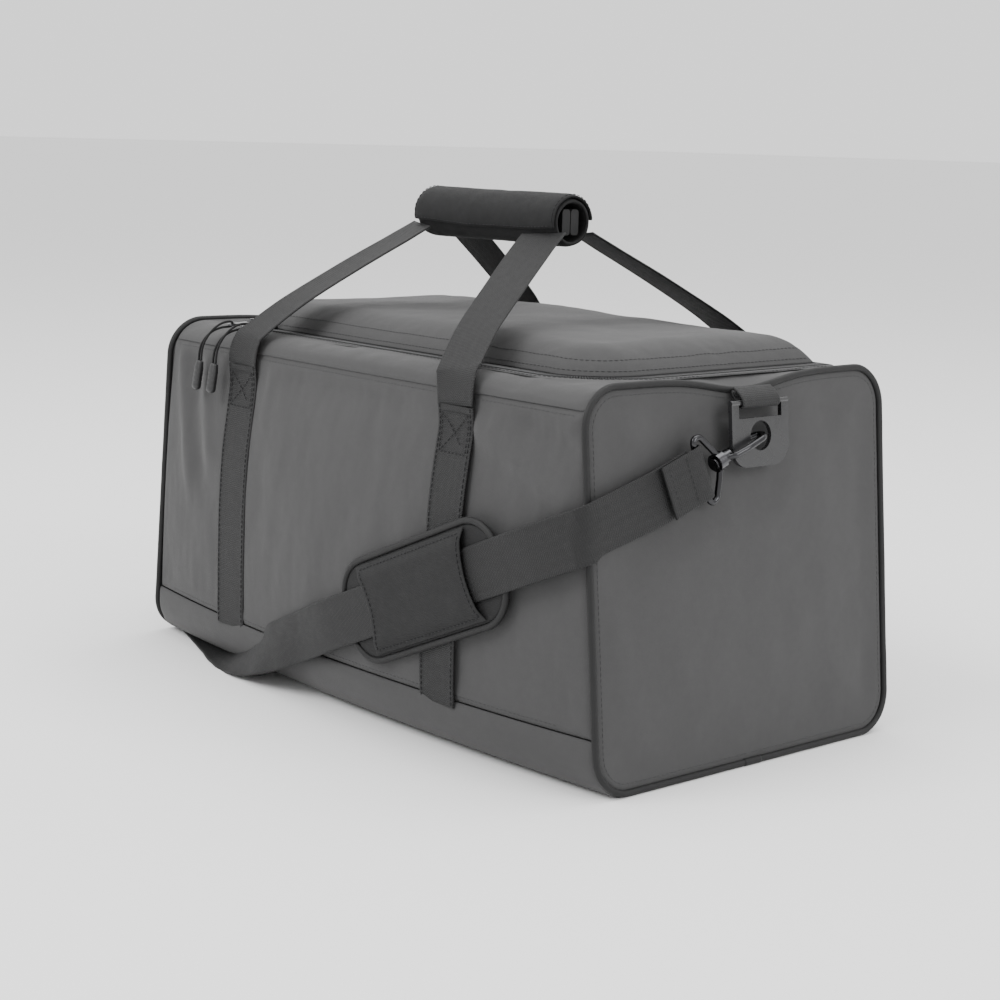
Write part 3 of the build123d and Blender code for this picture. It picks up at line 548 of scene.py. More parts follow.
def ribbon(name, route, width=WEB, thickness=WEB_T, step=4 * MM, cup=0.0, widths=None, shift=0.0):
    """Flat webbing with rolled selvedges along a route; cup bows it across its width."""
    stations = spline_points(route, step)
    half_t = thickness / 2
    profile = [(-1.0, 0.0), (-0.985, 0.7), (-0.94, 1.12), (-0.88, 1.0)]
    profile += [(-0.66, 0.96), (-0.44, 1.0), (-0.22, 0.96), (0.0, 1.0), (0.22, 0.96), (0.44, 1.0), (0.66, 0.96)]
    profile += [(0.88, 1.0), (0.94, 1.12), (0.985, 0.7), (1.0, 0.0)]
    outline = profile + [(a, -h) for a, h in reversed(profile[1:-1])]
    rows, run = [], 0.0
    for i, (place, across) in enumerate(stations):
        before = stations[max(i - 1, 0)][0]
        after = stations[min(i + 1, len(stations) - 1)][0]
        along = (after - before).normalized()
        wide = (across - along * across.dot(along)).normalized()
        thick = along.cross(wide).normalized()
        share = i / (len(stations) - 1)
        half_w = width / 2 * (widths(share) if widths else 1.0)
        if i:
            run += (place - stations[i - 1][0]).length
        row = []
        for a, h in outline:
            point = place + wide * (a * half_w) + thick * (h * half_t + cup * (1 - a * a) + shift)
            row.append((point, (a * half_w, run)))
        rows.append(row)
    piece = grid_piece(name, rows, wrap=True)
    mesh = bmesh.new()
    mesh.from_mesh(piece.data)
    mesh.verts.ensure_lookup_table()
    count = len(outline)
    last = len(rows) - 1
    mesh.faces.new([mesh.verts[i] for i in range(count)][::-1])
    mesh.faces.new([mesh.verts[last * count + i] for i in range(count)])
    bmesh.ops.recalc_face_normals(mesh, faces=mesh.faces)
    mesh.to_mesh(piece.data)
    mesh.free()
    for polygon in piece.data.polygons:
        polygon.use_smooth = True
    return piece


def stitches(name, path, body, length=3.0 * MM, gap=1.0 * MM, radius=0.28 * MM, slot="thread", lift=0.0002):
    """Row of thread stitches along a path of (place, surface normal)."""
    total = 0.0
    cells = [0.0]
    for (a, _), (b, _) in zip(path, path[1:]):
        total += (b - a).length
        cells.append(total)

    def at(distance):
        i = min(max(bisect.bisect_left(cells, distance) - 1, 0), len(path) - 2)
        t = min((distance - cells[i]) / max(cells[i + 1] - cells[i], 1e-9), 1.0)
        return path[i][0].lerp(path[i + 1][0], t), path[i][1].lerp(path[i + 1][1], t).normalized()

    points, faces = [], []
    distance = gap
    while distance + length < total:
        base = len(points)
        for share, size in ((0.0, 0.25), (0.15, 0.9), (0.5, 1.0), (0.85, 0.9), (1.0, 0.25)):
            place, normal = at(distance + length * share)
            ahead, _ = at(min(distance + length * share + 0.0003, total))
            along = ahead - place
            if along.length < 1e-7:
                along = place - at(max(distance + length * share - 0.0003, 0))[0]
            side = along.cross(normal).normalized()
            rise = lift + radius * 0.6 * (1 - (2 * share - 1) ** 2)
            for k in range(6):
                angle = math.pi * k / 3
                offset = side * (math.cos(angle) * radius * size) + normal * (math.sin(angle) * radius * size + rise)
                points.append(place + offset)
        for ring in range(4):
            for k in range(6):
                a, b = base + ring * 6 + k, base + ring * 6 + (k + 1) % 6
                faces.append((a, b, b + 6, a + 6))
        faces.append(tuple(base + k for k in range(6))[::-1])
        faces.append(tuple(base + 24 + k for k in range(6)))
        distance += length + gap
    piece = mesh_piece(name, points, faces)
    return finish_piece(piece, body, slot)


# ---------------------------------------------------------------- bottom
STRAP_ROUTE = strap_route()


def strap_clearance(x, y):
    """Height that the bottom needs to pass over the strap lying under it."""
    lowest = 0.0
    for (a, _), (b, _) in zip(STRAP_ROUTE[13:19], STRAP_ROUTE[14:20]):
        dx, dy = b.x - a.x, b.y - a.y
        t = min(max(((x - a.x) * dx + (y - a.y) * dy) / (dx * dx + dy * dy), 0), 1)
        away = math.hypot(x - a.x - dx * t, y - a.y - dy * t)
        lowest = max(lowest, 2.6 * MM * smooth((30 * MM - away) / (9 * MM)))
    return lowest


def make_bottom():
    """Bottom panel with rounded long edges, turned up to the side seams."""
    arc = 16
    flat = 40
    rows = []
    for p in eased(170, 0.35):
        row = []
        run = 0.0
        last = None
        for k in range(2 * arc + flat + 1):
            def place_at(x):
                s = section(x)
                low_r = s["low_r"]
                inner = s["side"] - low_r
                if k <= arc:
                    z = SIDE_SEAM * (1 - k / arc) ** 1.6
                    return -half_width(x, z) if z > 0 else -inner, z
                if k >= arc + flat:
                    z = SIDE_SEAM * ((k - arc - flat) / arc) ** 1.6
                    return half_width(x, z) if z > 0 else inner, z
                return mix(-inner, inner, (k - arc) / flat), 0.0
            x = mix(-end_edge(0), end_edge(0), p)
            y, z = place_at(x)
            x = mix(-end_edge(z), end_edge(z), p)
            y, z = place_at(x)
            near = min(abs(SIDE_SEAM - z), end_edge(z) - abs(x)) if z > 0.02 else end_edge(z) - abs(x)
            pull = edge_pull(near)
            sway = 0.9 * MM * fold_noise((x, y, z), 14.0, 21.0) * smooth(near / (15 * MM))
            if z > 0.012:
                y = math.copysign(abs(y) + sway - pull, y)
            z = max(z, 0.0003, strap_clearance(x, y) if z < 0.02 else 0.0)
            if last is not None:
                run += math.hypot(y - last[0], z - last[1])
            last = (y, z)
            row.append(((x, y, z), (x, run)))
        rows.append(row)
    piece = grid_piece("bottom_cloth", rows, flip=True)
    thicken(piece, 1.8 * MM)
    return finish_piece(piece, "root", "body_fabric", ["bottom_panel"])


make_bottom()


# ---------------------------------------------------------------- zip line and top
def zip_line(grow, count=220, back=True):
    """Points (x, y) of the zip's U, from the back left round the front to the back right."""
    half, front, corner = ZIP_HALF + grow, ZIP_FRONT - grow, ZIP_CORNER + grow
    straight_side = HINGE_Y - (front + corner)
    lengths = [straight_side, math.pi / 2 * corner, 2 * (half - corner), math.pi / 2 * corner, straight_side]
    total = sum(lengths)
    points = []
    for i in range(count + 1):
        d = total * i / count
        if d <= lengths[0]:
            points.append((-half, HINGE_Y - d))
            continue
        d -= lengths[0]
        if d <= lengths[1]:
            angle = math.pi + d / corner
            points.append((-half + corner + corner * math.cos(angle), front + corner + corner * math.sin(angle)))
            continue
        d -= lengths[1]
        if d <= lengths[2]:
            points.append((-half + corner + d, front))
            continue
        d -= lengths[2]
        if d <= lengths[3]:
            angle = 1.5 * math.pi + d / corner
            points.append((half - corner + corner * math.cos(angle), front + corner + corner * math.sin(angle)))
            continue
        points.append((half, front + corner + d - lengths[3]))
    return points


def closed_zip(grow, count=220, back_count=110):
    """The zip's U closed along the back, as one loop."""
    points = zip_line(grow, count)
    left, right = points[0], points[-1]
    back = [(mix(right[0], left[0], i / back_count), HINGE_Y) for i in range(1, back_count)]
    return points + back


TAB_DIP = 9 * MM                 # how far the ring's tab draws the top edge down
END_HIGH = TOP / LEAN_COS
CLOTH_GROW = 8 * MM              # from the zip's middle line to the folded edge of the cloth beside it


def tab_dip(y):
    """Sag of the end's top edge round the ring tab."""
    return TAB_DIP * bell(y - EYE[0] + 4 * MM, 44 * MM)


def rim_point(y):
    """Top edge of an end at a y: (distance from the middle, height)."""
    flat = PIPE_HALF - CORNER
    z = TOP - 0.4 * MM
    if abs(y) > flat:
        t = min((abs(y) - flat) / CORNER, 1.0)
        z -= CORNER * (1 - math.sqrt(max(1 - t * t, 0.0)))
    z -= tab_dip(y)
    return PIPE_X - LEAN * z - 1.2 * MM, z


def make_surround():
    """Cloth between the zip, the long folds and the end pipings, as a ring."""
    depth = 22
    centre_y = 3 * MM
    shares = eased(depth, 0.5)
    rows = []
    for r, t in enumerate(shares):
        row = []
        for x, y in closed_zip(CLOTH_GROW):
            dy = y - centre_y
            edge_x = PIPE_X - LEAN * TOP - 1.2 * MM
            edge_y = half_width(min(abs(x) * 1.06, 0.25), TOP_SEAM)
            room = edge_y - centre_y if dy > 0 else edge_y + centre_y
            scale_x = edge_x / max(abs(x), 1e-6)
            scale_y = room / max(abs(dy), 1e-6)
            scale = min(scale_x, scale_y)
            px, py = mix(x, x * scale, t), mix(y, centre_y + dy * scale, t)
            px = math.copysign(min(abs(px), edge_x), px)
            py = math.copysign(min(abs(py), half_width(px, TOP_SEAM)), py)
            z = deck_height(px, py)
            calm = smooth(t * 5) * smooth((1 - t) * 5)
            sway = 1.2 * MM * fold_noise((px, py, 0), 16.0, 31.0) + 0.5 * MM * fold_noise((px, py, 0), 60.0, 33.0)
            z += (sway - 1.6 * MM * math.sin(math.pi * t)) * calm
            if scale_x < scale_y:
                far, rim_z = rim_point(py)
                z = mix(z, min(z, rim_z), smooth(t))
                px = math.copysign(min(abs(px), PIPE_X - LEAN * z - 1.2 * MM), px)
            z -= 0.9 * MM * bell(1 - t, 0.05)
            row.append(((px, py, z), (px, py)))
        rows.append(row)
    piece = grid_piece("top_cloth", rows, wrap=True, flip=True)
    thicken(piece, 1.5 * MM)
    return finish_piece(piece, "root", "body_fabric", ["top_surround"])


SURROUND = make_surround()
SURROUND_TREE = surface_of(SURROUND)


def inside_distance(x, y, grow=-CLOTH_GROW):
    """Distance from a place under the lid to the lid's edge; the two back corners are square."""
    half, front, corner = ZIP_HALF + grow, ZIP_FRONT - grow, ZIP_CORNER + grow
    away = min(half - abs(x), y - front, HINGE_Y - 0.6 * MM - y)
    if abs(x) > half - corner and y < front + corner:
        away = min(away, corner - math.hypot(abs(x) - half + corner, y - front - corner))
    return away


LID_RISE = 20 * MM


def lid_height(x, y):
    """Height of the lid's crown, with its soft folds."""
    d = max(inside_distance(x, y), 0.0)
    z = 267.6 * MM + LID_RISE * (1 - (1 - min(d / (34 * MM), 1.0)) ** 2.6)
    z += 2.6 * MM * math.cos(math.pi / 2 * min(abs(x) / ZIP_HALF, 1)) * smooth(d / (60 * MM))
    calm = smooth(d / (26 * MM))
    z += calm * (1.7 * MM * fold_noise((x, y, 0), 8.0, 51.0) + 0.6 * MM * fold_noise((x, y, 0), 26.0, 55.0, (1, 0.5, 1)))
    edge_pucker = bell(d - 12 * MM, 9 * MM)
    z += 0.7 * MM * edge_pucker * fold_noise((x, y, 0), 55.0, 57.0)
    return z


def make_lid():
    """The lid: a soft crowned panel with a turned edge."""
    half, front, corner = ZIP_HALF - CLOTH_GROW, ZIP_FRONT + CLOTH_GROW, ZIP_CORNER - CLOTH_GROW
    back = HINGE_Y - 0.6 * MM
    rows = []
    for q in eased(86, 0.75):
        y = mix(front, back, q)
        reach = half
        if y < front + corner:
            reach = half - corner + math.sqrt(max(corner ** 2 - (front + corner - y) ** 2, 0.0))
        row = []
        for p in eased(150, 0.75):
            x = mix(-reach, reach, p)
            row.append(((x, y, lid_height(x, y)), (x, y)))
        rows.append(row)
    piece = grid_piece("lid_cloth", rows)
    thicken(piece, 1.5 * MM)
    return finish_piece(piece, "lid", "body_fabric", ["lid_panel"])


LID = make_lid()
LID_TREE = surface_of(LID)


def above(tree, x, y, fall=TOP):
    """Place and normal of the cloth seen from above at (x, y)."""
    place, normal, _, _ = tree.ray_cast(Vector((x, y, 0.4)), Vector((0, 0, -1)))
    if place is None:
        return Vector((x, y, fall)), Vector((0, 0, 1))
    return place, normal if normal.z > 0 else -normal


def make_tape(name, body, near, far, node):
    """One side's zipper tape: a thin woven strip along the zip."""
    count = 220
    inner, outer = zip_line(near, count), zip_line(far, count)
    rows = []
    run = 0.0
    for i in range(count + 1):
        row = []
        if i:
            run += math.hypot(inner[i][0] - inner[i - 1][0], inner[i][1] - inner[i - 1][1])
        for k in range(7):
            t = k / 6
            x, y = mix(inner[i][0], outer[i][0], t), mix(inner[i][1], outer[i][1], t)
            z = 266.3 * MM + 0.25 * MM * fold_noise((x, y, 0), 40.0, 61.0)
            row.append(((x, min(y, HINGE_Y - 0.6 * MM) if body == "lid" else y, z), (t * 10 * MM, run)))
        rows.append(row)
    piece = grid_piece(name, rows, flip=far > near)
    thicken(piece, 0.7 * MM, 0)
    return finish_piece(piece, body, "zip_tape", [node])


make_tape("tape_body", "root", 3.2 * MM, 13.5 * MM, "zipper_tape_body")
make_tape("tape_lid", "lid", -3.2 * MM, -13.5 * MM, "zipper_tape_lid")


def make_coil(name, body, inward, node):
    """One side's coil: rounded teeth that reach across the zip's middle line, one pitch apart."""
    count = 470
    line = zip_line(0.0, count)
    points, faces = [], []
    for i in range(count):
        t = 0.5 if inward else 0.0
        x0, y0 = line[i]
        x1, y1 = line[i + 1]
        cx, cy = mix(x0, x1, t), mix(y0, y1, t)
        along = Vector((x1 - x0, y1 - y0, 0)).normalized()
        out = Vector((along.y, -along.x, 0)) * (-1 if inward else 1)
        if body == "lid" and cy > HINGE_Y - 1.5 * MM:
            continue
        near_slider = min(math.hypot(cx + 0.1764, cy + 0.1118), math.hypot(cx + 0.157, cy + 0.112))
        if near_slider < 8.2 * MM:
            continue
        base = len(points)
        for reach, size in ((-0.9, 0.45), (-0.5, 0.95), (1.2, 1.0), (3.2, 0.9), (3.9, 0.4)):
            for k in range(6):
                angle = math.pi * k / 3
                offset = along * (math.cos(angle) * 0.46 * MM * size) + Vector((0, 0, math.sin(angle) * 0.95 * MM * size))
                points.append(Vector((cx, cy, 267.4 * MM)) + out * (reach * MM) + offset)
        for ring in range(4):
            for k in range(6):
                a, b = base + ring * 6 + k, base + ring * 6 + (k + 1) % 6
                faces.append((a, b, b + 6, a + 6))
        faces.append(tuple(base + k for k in range(6))[::-1])
        faces.append(tuple(base + 24 + k for k in range(6)))
    return finish_piece(mesh_piece(name, points, faces), body, "zip_coil", [node])


make_coil("coil_body", "root", False, "zipper_coil_body")
make_coil("coil_lid", "lid", True, "zipper_coil_lid")


# ---------------------------------------------------------------- ends and piping
def end_half(v):
    """Half width of an end at a height up its face."""
    low, flat = 2.5 * MM, PIPE_HALF - CORNER
    for up in (v - low, END_HIGH - v):
        if up < CORNER:
            return flat + math.sqrt(max(CORNER ** 2 - (CORNER - max(up, 0)) ** 2, 0.0))
    return PIPE_HALF


def end_shift(u, v):
    """How far a point near the top edge is drawn down by the ring tab."""
    return tab_dip(u) * smooth((v - 0.13) / (END_HIGH - 0.13))


END_LINES = {
    "right": [(EYE[0], EYE[1], -0.086, 0.194), (-0.086, 0.194, -0.1435, 0.1795), (EYE[0], 0.25, EYE[0], 0.21)],
    "left": [(EYE[0], EYE[1], EYE[0] - 0.234 * math.cos(HOOK_TURN["left"]), EYE[1] - 0.234 * math.sin(HOOK_TURN["left"]))],
}


def hardware_distance(side, u, v):
    """Distance from a place on an end to the strap and ring that lie against it."""
    best = 1.0
    for u0, v0, u1, v1 in END_LINES[side]:
        du, dv = u1 - u0, v1 - v0
        t = min(max(((u - u0) * du + (v - v0) * dv) / (du * du + dv * dv), 0), 1)
        best = min(best, math.hypot(u - u0 - t * du, v - v0 - t * dv))
    return best


def make_end(side):
    """End panel: soft cloth that bellies a little and is drawn in at the piping and under the ring."""
    seed = 71.0 if side == "right" else 83.0
    matrix = end_matrix(side)
    rows = []
    for q in eased(84, 0.5):
        v0 = mix(2.5 * MM, END_HIGH, q)
        half = end_half(v0) - 1.6 * MM
        row = []
        for p in eased(88, 0.5):
            u = mix(-half, half, p)
            v = v0 - end_shift(u, v0)
            near = min(half - abs(u), v0 - 2.5 * MM, END_HIGH - v0)
            if abs(u) > PIPE_HALF - CORNER:
                for low_v in (2.5 * MM + CORNER, END_HIGH - CORNER):
                    beyond = low_v - v0 if low_v < 0.1 else v0 - low_v
                    if beyond > 0:
                        near = min(near, CORNER - math.hypot(abs(u) - PIPE_HALF + CORNER, beyond))
            clear = smooth((hardware_distance(side, u, v) - 24 * MM) / (26 * MM))
            calm = smooth(near / (24 * MM))
            belly = 3.4 * MM * smooth(near / (70 * MM)) * clear
            sway = 2.4 * MM * fold_noise((0, u, v), 8.0, seed, (1, 1, 0.7)) + 0.7 * MM * fold_noise((0, u, v), 24.0, seed + 4)
            sway -= 2.6 * MM * bell(u - EYE[0], 60 * MM) * bell(v - 0.235, 34 * MM)
            sway -= 2.0 * MM * ridge(u, v, (-0.060, 0.215), (-0.110, 0.150), 16 * MM)
            sway += 1.4 * MM * ridge(u, v, (-0.105, 0.235), (-0.125, 0.120), 14 * MM) * clear
            out = belly + (sway if sway < 0 else sway * clear) * calm
            w = 0.6 * MM + out - 1.3 * MM * bell(near, 3.0 * MM)
            row.append((matrix @ Vector((u, v, w)), (u, v)))
        rows.append(row)
    piece = grid_piece(f"{side}_end_cloth", rows, flip=side == "left")
    thicken(piece, 1.8 * MM)
    return finish_piece(piece, "root", "body_fabric", [f"{side}_end_panel"])


def end_outline(inset, count=60):
    """Closed outline of an end in its own axes, with the dip under the tab, from the middle of the bottom."""
    low, high = 2.5 * MM + inset, END_HIGH - inset
    half, corner = PIPE_HALF - inset, CORNER - inset
    points = []
    for i in range(count):
        points.append((mix(0, half - corner, i / count), low))
    for centre, first in (((half - corner, low + corner), -0.5), ((half - corner, high - corner), 0.0)):
        for i in range(16):
            angle = math.pi * (first + 0.5 * i / 16)
            points.append((centre[0] + corner * math.cos(angle), centre[1] + corner * math.sin(angle)))
        if first < 0:
            for i in range(count):
                points.append((half, mix(low + corner, high - corner, i / count)))
    for i in range(2 * count):
        points.append((mix(half - corner, -half + corner, i / (2 * count)), high))
    mirrored = []
    for centre, first in (((-half + corner, high - corner), 0.5), ((-half + corner, low + corner), 1.0)):
        for i in range(16):
            angle = math.pi * (first + 0.5 * i / 16)
            mirrored.append((centre[0] + corner * math.cos(angle), centre[1] + corner * math.sin(angle)))
        if first < 1:
            for i in range(count):
                mirrored.append((-half, mix(high - corner, low + corner, i / count)))
    points += mirrored
    for i in range(count):
        points.append((mix(-half + corner, 0, i / count), low))
    return [(u, v - end_shift(u, v)) for u, v in points]


def tube(name, points, radius, sides=10, closed=False, profile=None):
    """Round tube along points; profile gives the radius share at each point."""
    count = len(points)
    rows = []
    run = 0.0
    normal = None
    for i, place in enumerate(points):
        before = points[(i - 1) % count] if closed or i else points[0]
        after = points[(i + 1) % count] if closed or i < count - 1 else points[-1]
        along = (after - before).normalized()
        if normal is None:
            normal = along.orthogonal().normalized()
        normal = (normal - along * normal.dot(along)).normalized()
        other = along.cross(normal)
        if i:
            run += (place - points[i - 1]).length
        size = radius * (profile(i / (count - 1)) if profile else 1.0)
        row = []
        for k in range(sides):
            angle = 2 * math.pi * k / sides
            row.append((place + normal * (math.cos(angle) * size) + other * (math.sin(angle) * size), (angle * radius, run)))
        rows.append(row)
    if closed:
        rows.append([(p, (uv[0], run)) for p, uv in rows[0]])
    piece = grid_piece(name, rows, wrap=True)
    mesh = bmesh.new()
    mesh.from_mesh(piece.data)
    if closed:
        bmesh.ops.remove_doubles(mesh, verts=mesh.verts, dist=1e-6)
    else:
        bmesh.ops.holes_fill(mesh, edges=[e for e in mesh.edges if e.is_boundary])
    bmesh.ops.recalc_face_normals(mesh, faces=mesh.faces)
    mesh.to_mesh(piece.data)
    mesh.free()
    for polygon in piece.data.polygons:
        polygon.use_smooth = True
    return piece


END_TREES = {}
for side in ("right", "left"):
    END_TREES[side] = surface_of(make_end(side))
    matrix = end_matrix(side)
    wander = 5.0 if side == "right" else 9.0
    path = []
    for u, v in end_outline(0.0):
        place = matrix @ Vector((u, v, 0.25 * MM * fold_noise((u, v, 0), 30.0, wander)))
        place.z = max(place.z, PIPE_R)
        path.append(place)
    finish_piece(tube(f"{side}_piping_cord", path, PIPE_R, closed=True), "root", "piping", [f"{side}_piping"])
    lap = [matrix @ Vector((mix(-7, 9, i / 14) * MM, 2.5 * MM, 0)) for i in range(15)]
    for place in lap:
        place.z = max(place.z, PIPE_R)
    finish_piece(tube(f"{side}_piping_lap", lap, PIPE_R + 0.35 * MM), "root", "piping")


# ---------------------------------------------------------------- handle straps sewn to the sides
def offset_out(place, normal, distance):
    return place + normal.normalized() * distance


def sewn_route(x, side):
    """Stations up a long side at x."""
    route = []
    for i in range(15):
        z = mix(SIDE_SEAM - 4 * MM, 243.4 * MM, i / 14)
        reach = max(abs(side_y(x - 14 * MM, max(z, 0.042), side)), abs(side_y(x + 14 * MM, max(z, 0.042), side)))
        reach = max(reach, abs(side_y(x, max(z, 0.042), side)))
        if i == 14:
            reach = 149.8 * MM
        route.append((Vector((x, side * (reach + 0.75 * MM), z)), Vector((1, 0, 0))))
    return route


def leg_route(x, side):
    """Stations of a handle leg from the top fold to the grip."""
    top = (-77 if x < 0 else 63) * MM
    lean = top - x
    places = [
        (x, -150.6, 243.4), (x + lean * 0.015, -150.2, 254), (x + lean * 0.07, -145.5, 267), (x + lean * 0.30, -117.0, 292),
        (x + lean * 0.58, -76.0, 319.5), (x + lean * 0.84, -39.0, 342.5), (x + lean * 0.96, -19.6, 354.4),
    ]
    route = []
    for i, (px, y, z) in enumerate(places):
        across = Vector((1, 0, 0.02 * i * (1 if x < 0 else -1)))
        route.append((Vector((px, -side * y * MM, z * MM)), across))
    return route


def strap_rows(name, route, body, shift=0.8 * MM, inset=2.6 * MM, width=WEB):
    """Two rows of stitches along the edges of a strap."""
    stations = spline_points(route, 6 * MM)
    for k, edge in (("a", -1), ("b", 1)):
        path = []
        for i, (place, across) in enumerate(stations):
            along = (stations[min(i + 1, len(stations) - 1)][0] - stations[max(i - 1, 0)][0]).normalized()
            wide = (across - along * across.dot(along)).normalized()
            normal = along.cross(wide).normalized()
            path.append((place + wide * (edge * (width / 2 - inset)) + normal * shift, normal))
        stitches(f"{name}_{k}", path, body)


def flipped(route):
    return [(place, -across) for place, across in route]


for side, face in ((-1, "front"), (1, "back")):
    for x, hand in zip(STRAP_X, ("left", "right")):
        route = sewn_route(x, side)
        if side < 0:
            route = flipped(route)
        strap = ribbon(f"{face}_sewn_{hand}", route, cup=0.0)
        finish_piece(strap, "root", "webbing", [f"{face}_strap_{hand}"])
        strap_rows(f"{face}_sewn_{hand}_thread", route, "root")
        z0, z1 = 0.211, 0.238
        corner = [(-1, z0), (1, z0), (1, z1), (-1, z1), (-1, z0), (1, z1), (-1, z1), (1, z0)]
        path = []
        for (a, za), (b, zb) in zip(corner, corner[1:]):
            for i in range(6):
                t = i / 6
                z = mix(za, zb, t)
                height = (z - route[0][0].z) / (route[-1][0].z - route[0][0].z) * (len(route) - 1)
                k = min(int(height), len(route) - 2)
                y = mix(route[k][0].y, route[k + 1][0].y, height - k)
                path.append((Vector((x + mix(a, b, t) * 14 * MM, y + side * 0.85 * MM, z)), Vector((0, side, 0))))
        stitches(f"{face}_box_{hand}", path, "root")
        leg = leg_route(x, side)
        if side < 0:
            leg = flipped(leg)
        bow = (3.5 if side < 0 else -3.5) * MM
        piece = ribbon(f"{face}_handle_{hand}", leg, cup=-0.4 * MM, step=4 * MM)
        finish_piece(piece, "root", "webbing", [f"{face}_leg_{hand}"])
        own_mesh(piece)


# ---------------------------------------------------------------- grip wrap
def wrap_ring(x, radius, start, stop, count, seed, flat=0.0):
    """Part of a soft ring round the grip, from one angle to another; 0 is the back, 90 the top."""
    row = []
    for k in range(count + 1):
        angle = math.radians(mix(start, stop, k / count))
        swell = 0.55 * MM * fold_noise((x, math.cos(angle) * 0.02, math.sin(angle) * 0.02), 45.0, seed)
        r = radius + swell
        y, z = r * math.cos(angle), r * math.sin(angle)
        row.append(((x, y, GRIP_Z + z), (x, angle * radius)))
    return row


def make_wrap():
    """Padded sleeve round the two grips, and the flap that closes over it."""
    steps = 44
    base, flap = [], []
    for i, t in enumerate(eased(steps, 0.5)):
        x = mix(*WRAP_X, t)
        end = min(t, 1 - t)
        tuck = 1.4 * MM * bell(end, 0.02)
        base.append(wrap_ring(x, 18.0 * MM - tuck, 0, 360, 48, 91.0)[:-1])
        edge = -14 - 5 * math.sin(math.pi * t) + 2.0 * fold_noise((x, 0, 0), 20.0, 93.0)
        flap.append(wrap_ring(x, 21.0 * MM - tuck * 0.8, 4, 180 - edge, 34, 92.0))
    piece = grid_piece("wrap_sleeve", base, wrap=True)
    thicken(piece, 2.6 * MM)
    finish_piece(piece, "handles", "wrap_fabric", ["wrap_base"])
    cover = grid_piece("wrap_cover", flap)
    mesh = bmesh.new()
    mesh.from_mesh(cover.data)
    bmesh.ops.recalc_face_normals(mesh, faces=mesh.faces)
    mesh.to_mesh(cover.data)
    mesh.free()
    outward = Vector((0, 0, 1))
    middle = cover.data.polygons[len(cover.data.polygons) // 2]
    if (middle.center - Vector((middle.center.x, 0, GRIP_Z))).dot(middle.normal) < 0:
        cover.data.flip_normals()
    thicken(cover, 1.8 * MM)
    finish_piece(cover, "wrap_flap", "wrap_fabric", ["wrap_flap"])
    edges = []
    for row in (flap[1], flap[-2]):
        edges.append([Vector(p) for p, _ in row[1:-1]])
    edges.append([Vector(row[-2][0]) for row in flap[1:-1]])
    for name, line, body in zip(("wrap_hem_left", "wrap_hem_right", "wrap_hem_front"), edges, ("wrap_flap",) * 3):
        hem = []
        for place in line:
            out = Vector((0, place.y, place.z - GRIP_Z)).normalized()
            hem.append((place + out * 0.2 * MM, out))
        stitches(name, hem, body)
    return piece


make_wrap()


# ---------------------------------------------------------------- shoulder strap
def make_strap():
    """The shoulder strap and the stitches along two of its stretches; the places of its doubled right stretch are
    worked out but no piece is made of them, and the folds round the bails come from make_strap_end.
    """
    strap = ribbon("shoulder_webbing", STRAP_ROUTE, step=5 * MM, cup=0.0)
    finish_piece(strap, "root", "webbing", ["shoulder_strap"])
    doubled = [(place + Vector((0, 0, 2.2 * MM)) + PAD_OUT * -1.7 * MM, across) for place, across in STRAP_ROUTE[6:8]]
    strap_rows("shoulder_thread", STRAP_ROUTE[:7], "root", shift=0.8 * MM, inset=2.0 * MM)
    strap_rows("shoulder_thread_low", STRAP_ROUTE[9:12], "root", shift=0.8 * MM, inset=2.0 * MM)


make_strap()


def make_strap_end(side):
    """Webbing folded round the bail's bar, with the tongue sewn back on the strap."""
    turn = HOOK_TURN[side]
    matrix = end_matrix(side)
    along = Vector((-math.cos(turn), -math.sin(turn), 0))
    centre = Vector((EYE[0], EYE[1], HOOK_W)) + along * BAIL_REACH
    across = matrix.to_3x3() @ Vector((-math.sin(turn), math.cos(turn), 0))
    route = []
    for reach, w in ((34, 1.2), (26, 1.5), (14, 2.0), (6.5, 3.0)):
        route.append(centre + along * (reach * MM) + Vector((0, 0, w * MM)))
    for i in range(1, 9):
        angle = math.radians(mix(62, 290, i / 9))
        route.append(centre + along * (3.4 * MM * math.cos(angle)) + Vector((0, 0, 3.4 * MM * math.sin(angle))))
    stations = [(matrix @ place, across) for place in route]
    piece = ribbon(f"{side}_strap_fold", stations, width=WEB - 0.4 * MM, step=2 * MM)
    finish_piece(piece, "root", "webbing", [f"{side}_strap_end"])
    sign = 1 if side == "right" else -1
    for k, reach in enumerate((9, 12, 28)):
        path = []
        for i in range(9):
            local = centre + along * (reach * MM) + Vector((0, 0, (3.35 - reach * 0.055) * MM))
            normal = matrix.to_3x3() @ Vector((0, 0, 1))
            path.append((matrix @ local + across.normalized() * (mix(-16, 16, i / 8) * MM), normal))
        stitches(f"{side}_fold_thread_{k}", path, "root")


def make_ring_tab(side):
    """Webbing loop that holds the ring's bar, sewn in under the piping."""
    matrix = end_matrix(side)
    across = Vector((0, 1, 0))
    points = [(260.5, 1.6), (256.5, 3.6), (253.6, 6.2)]
    for i in range(9):
        angle = math.radians(mix(140, 360, i / 8))
        points.append((BAR_V / MM + 3.0 * math.sin(angle), RING_W / MM + 3.0 * math.cos(angle)))
    points += [(255.5, 11.6), (259.0, 8.4), (262.2, 4.2)]
    route = [(matrix @ Vector((EYE[0], v * MM, w * MM)), across) for v, w in points]
    piece = ribbon(f"{side}_tab", route, width=WEB - 1 * MM, step=1.5 * MM)
    finish_piece(piece, "root", "webbing", [f"{side}_ring_tab"])


for side in ("right", "left"):
    make_strap_end(side)
    make_ring_tab(side)


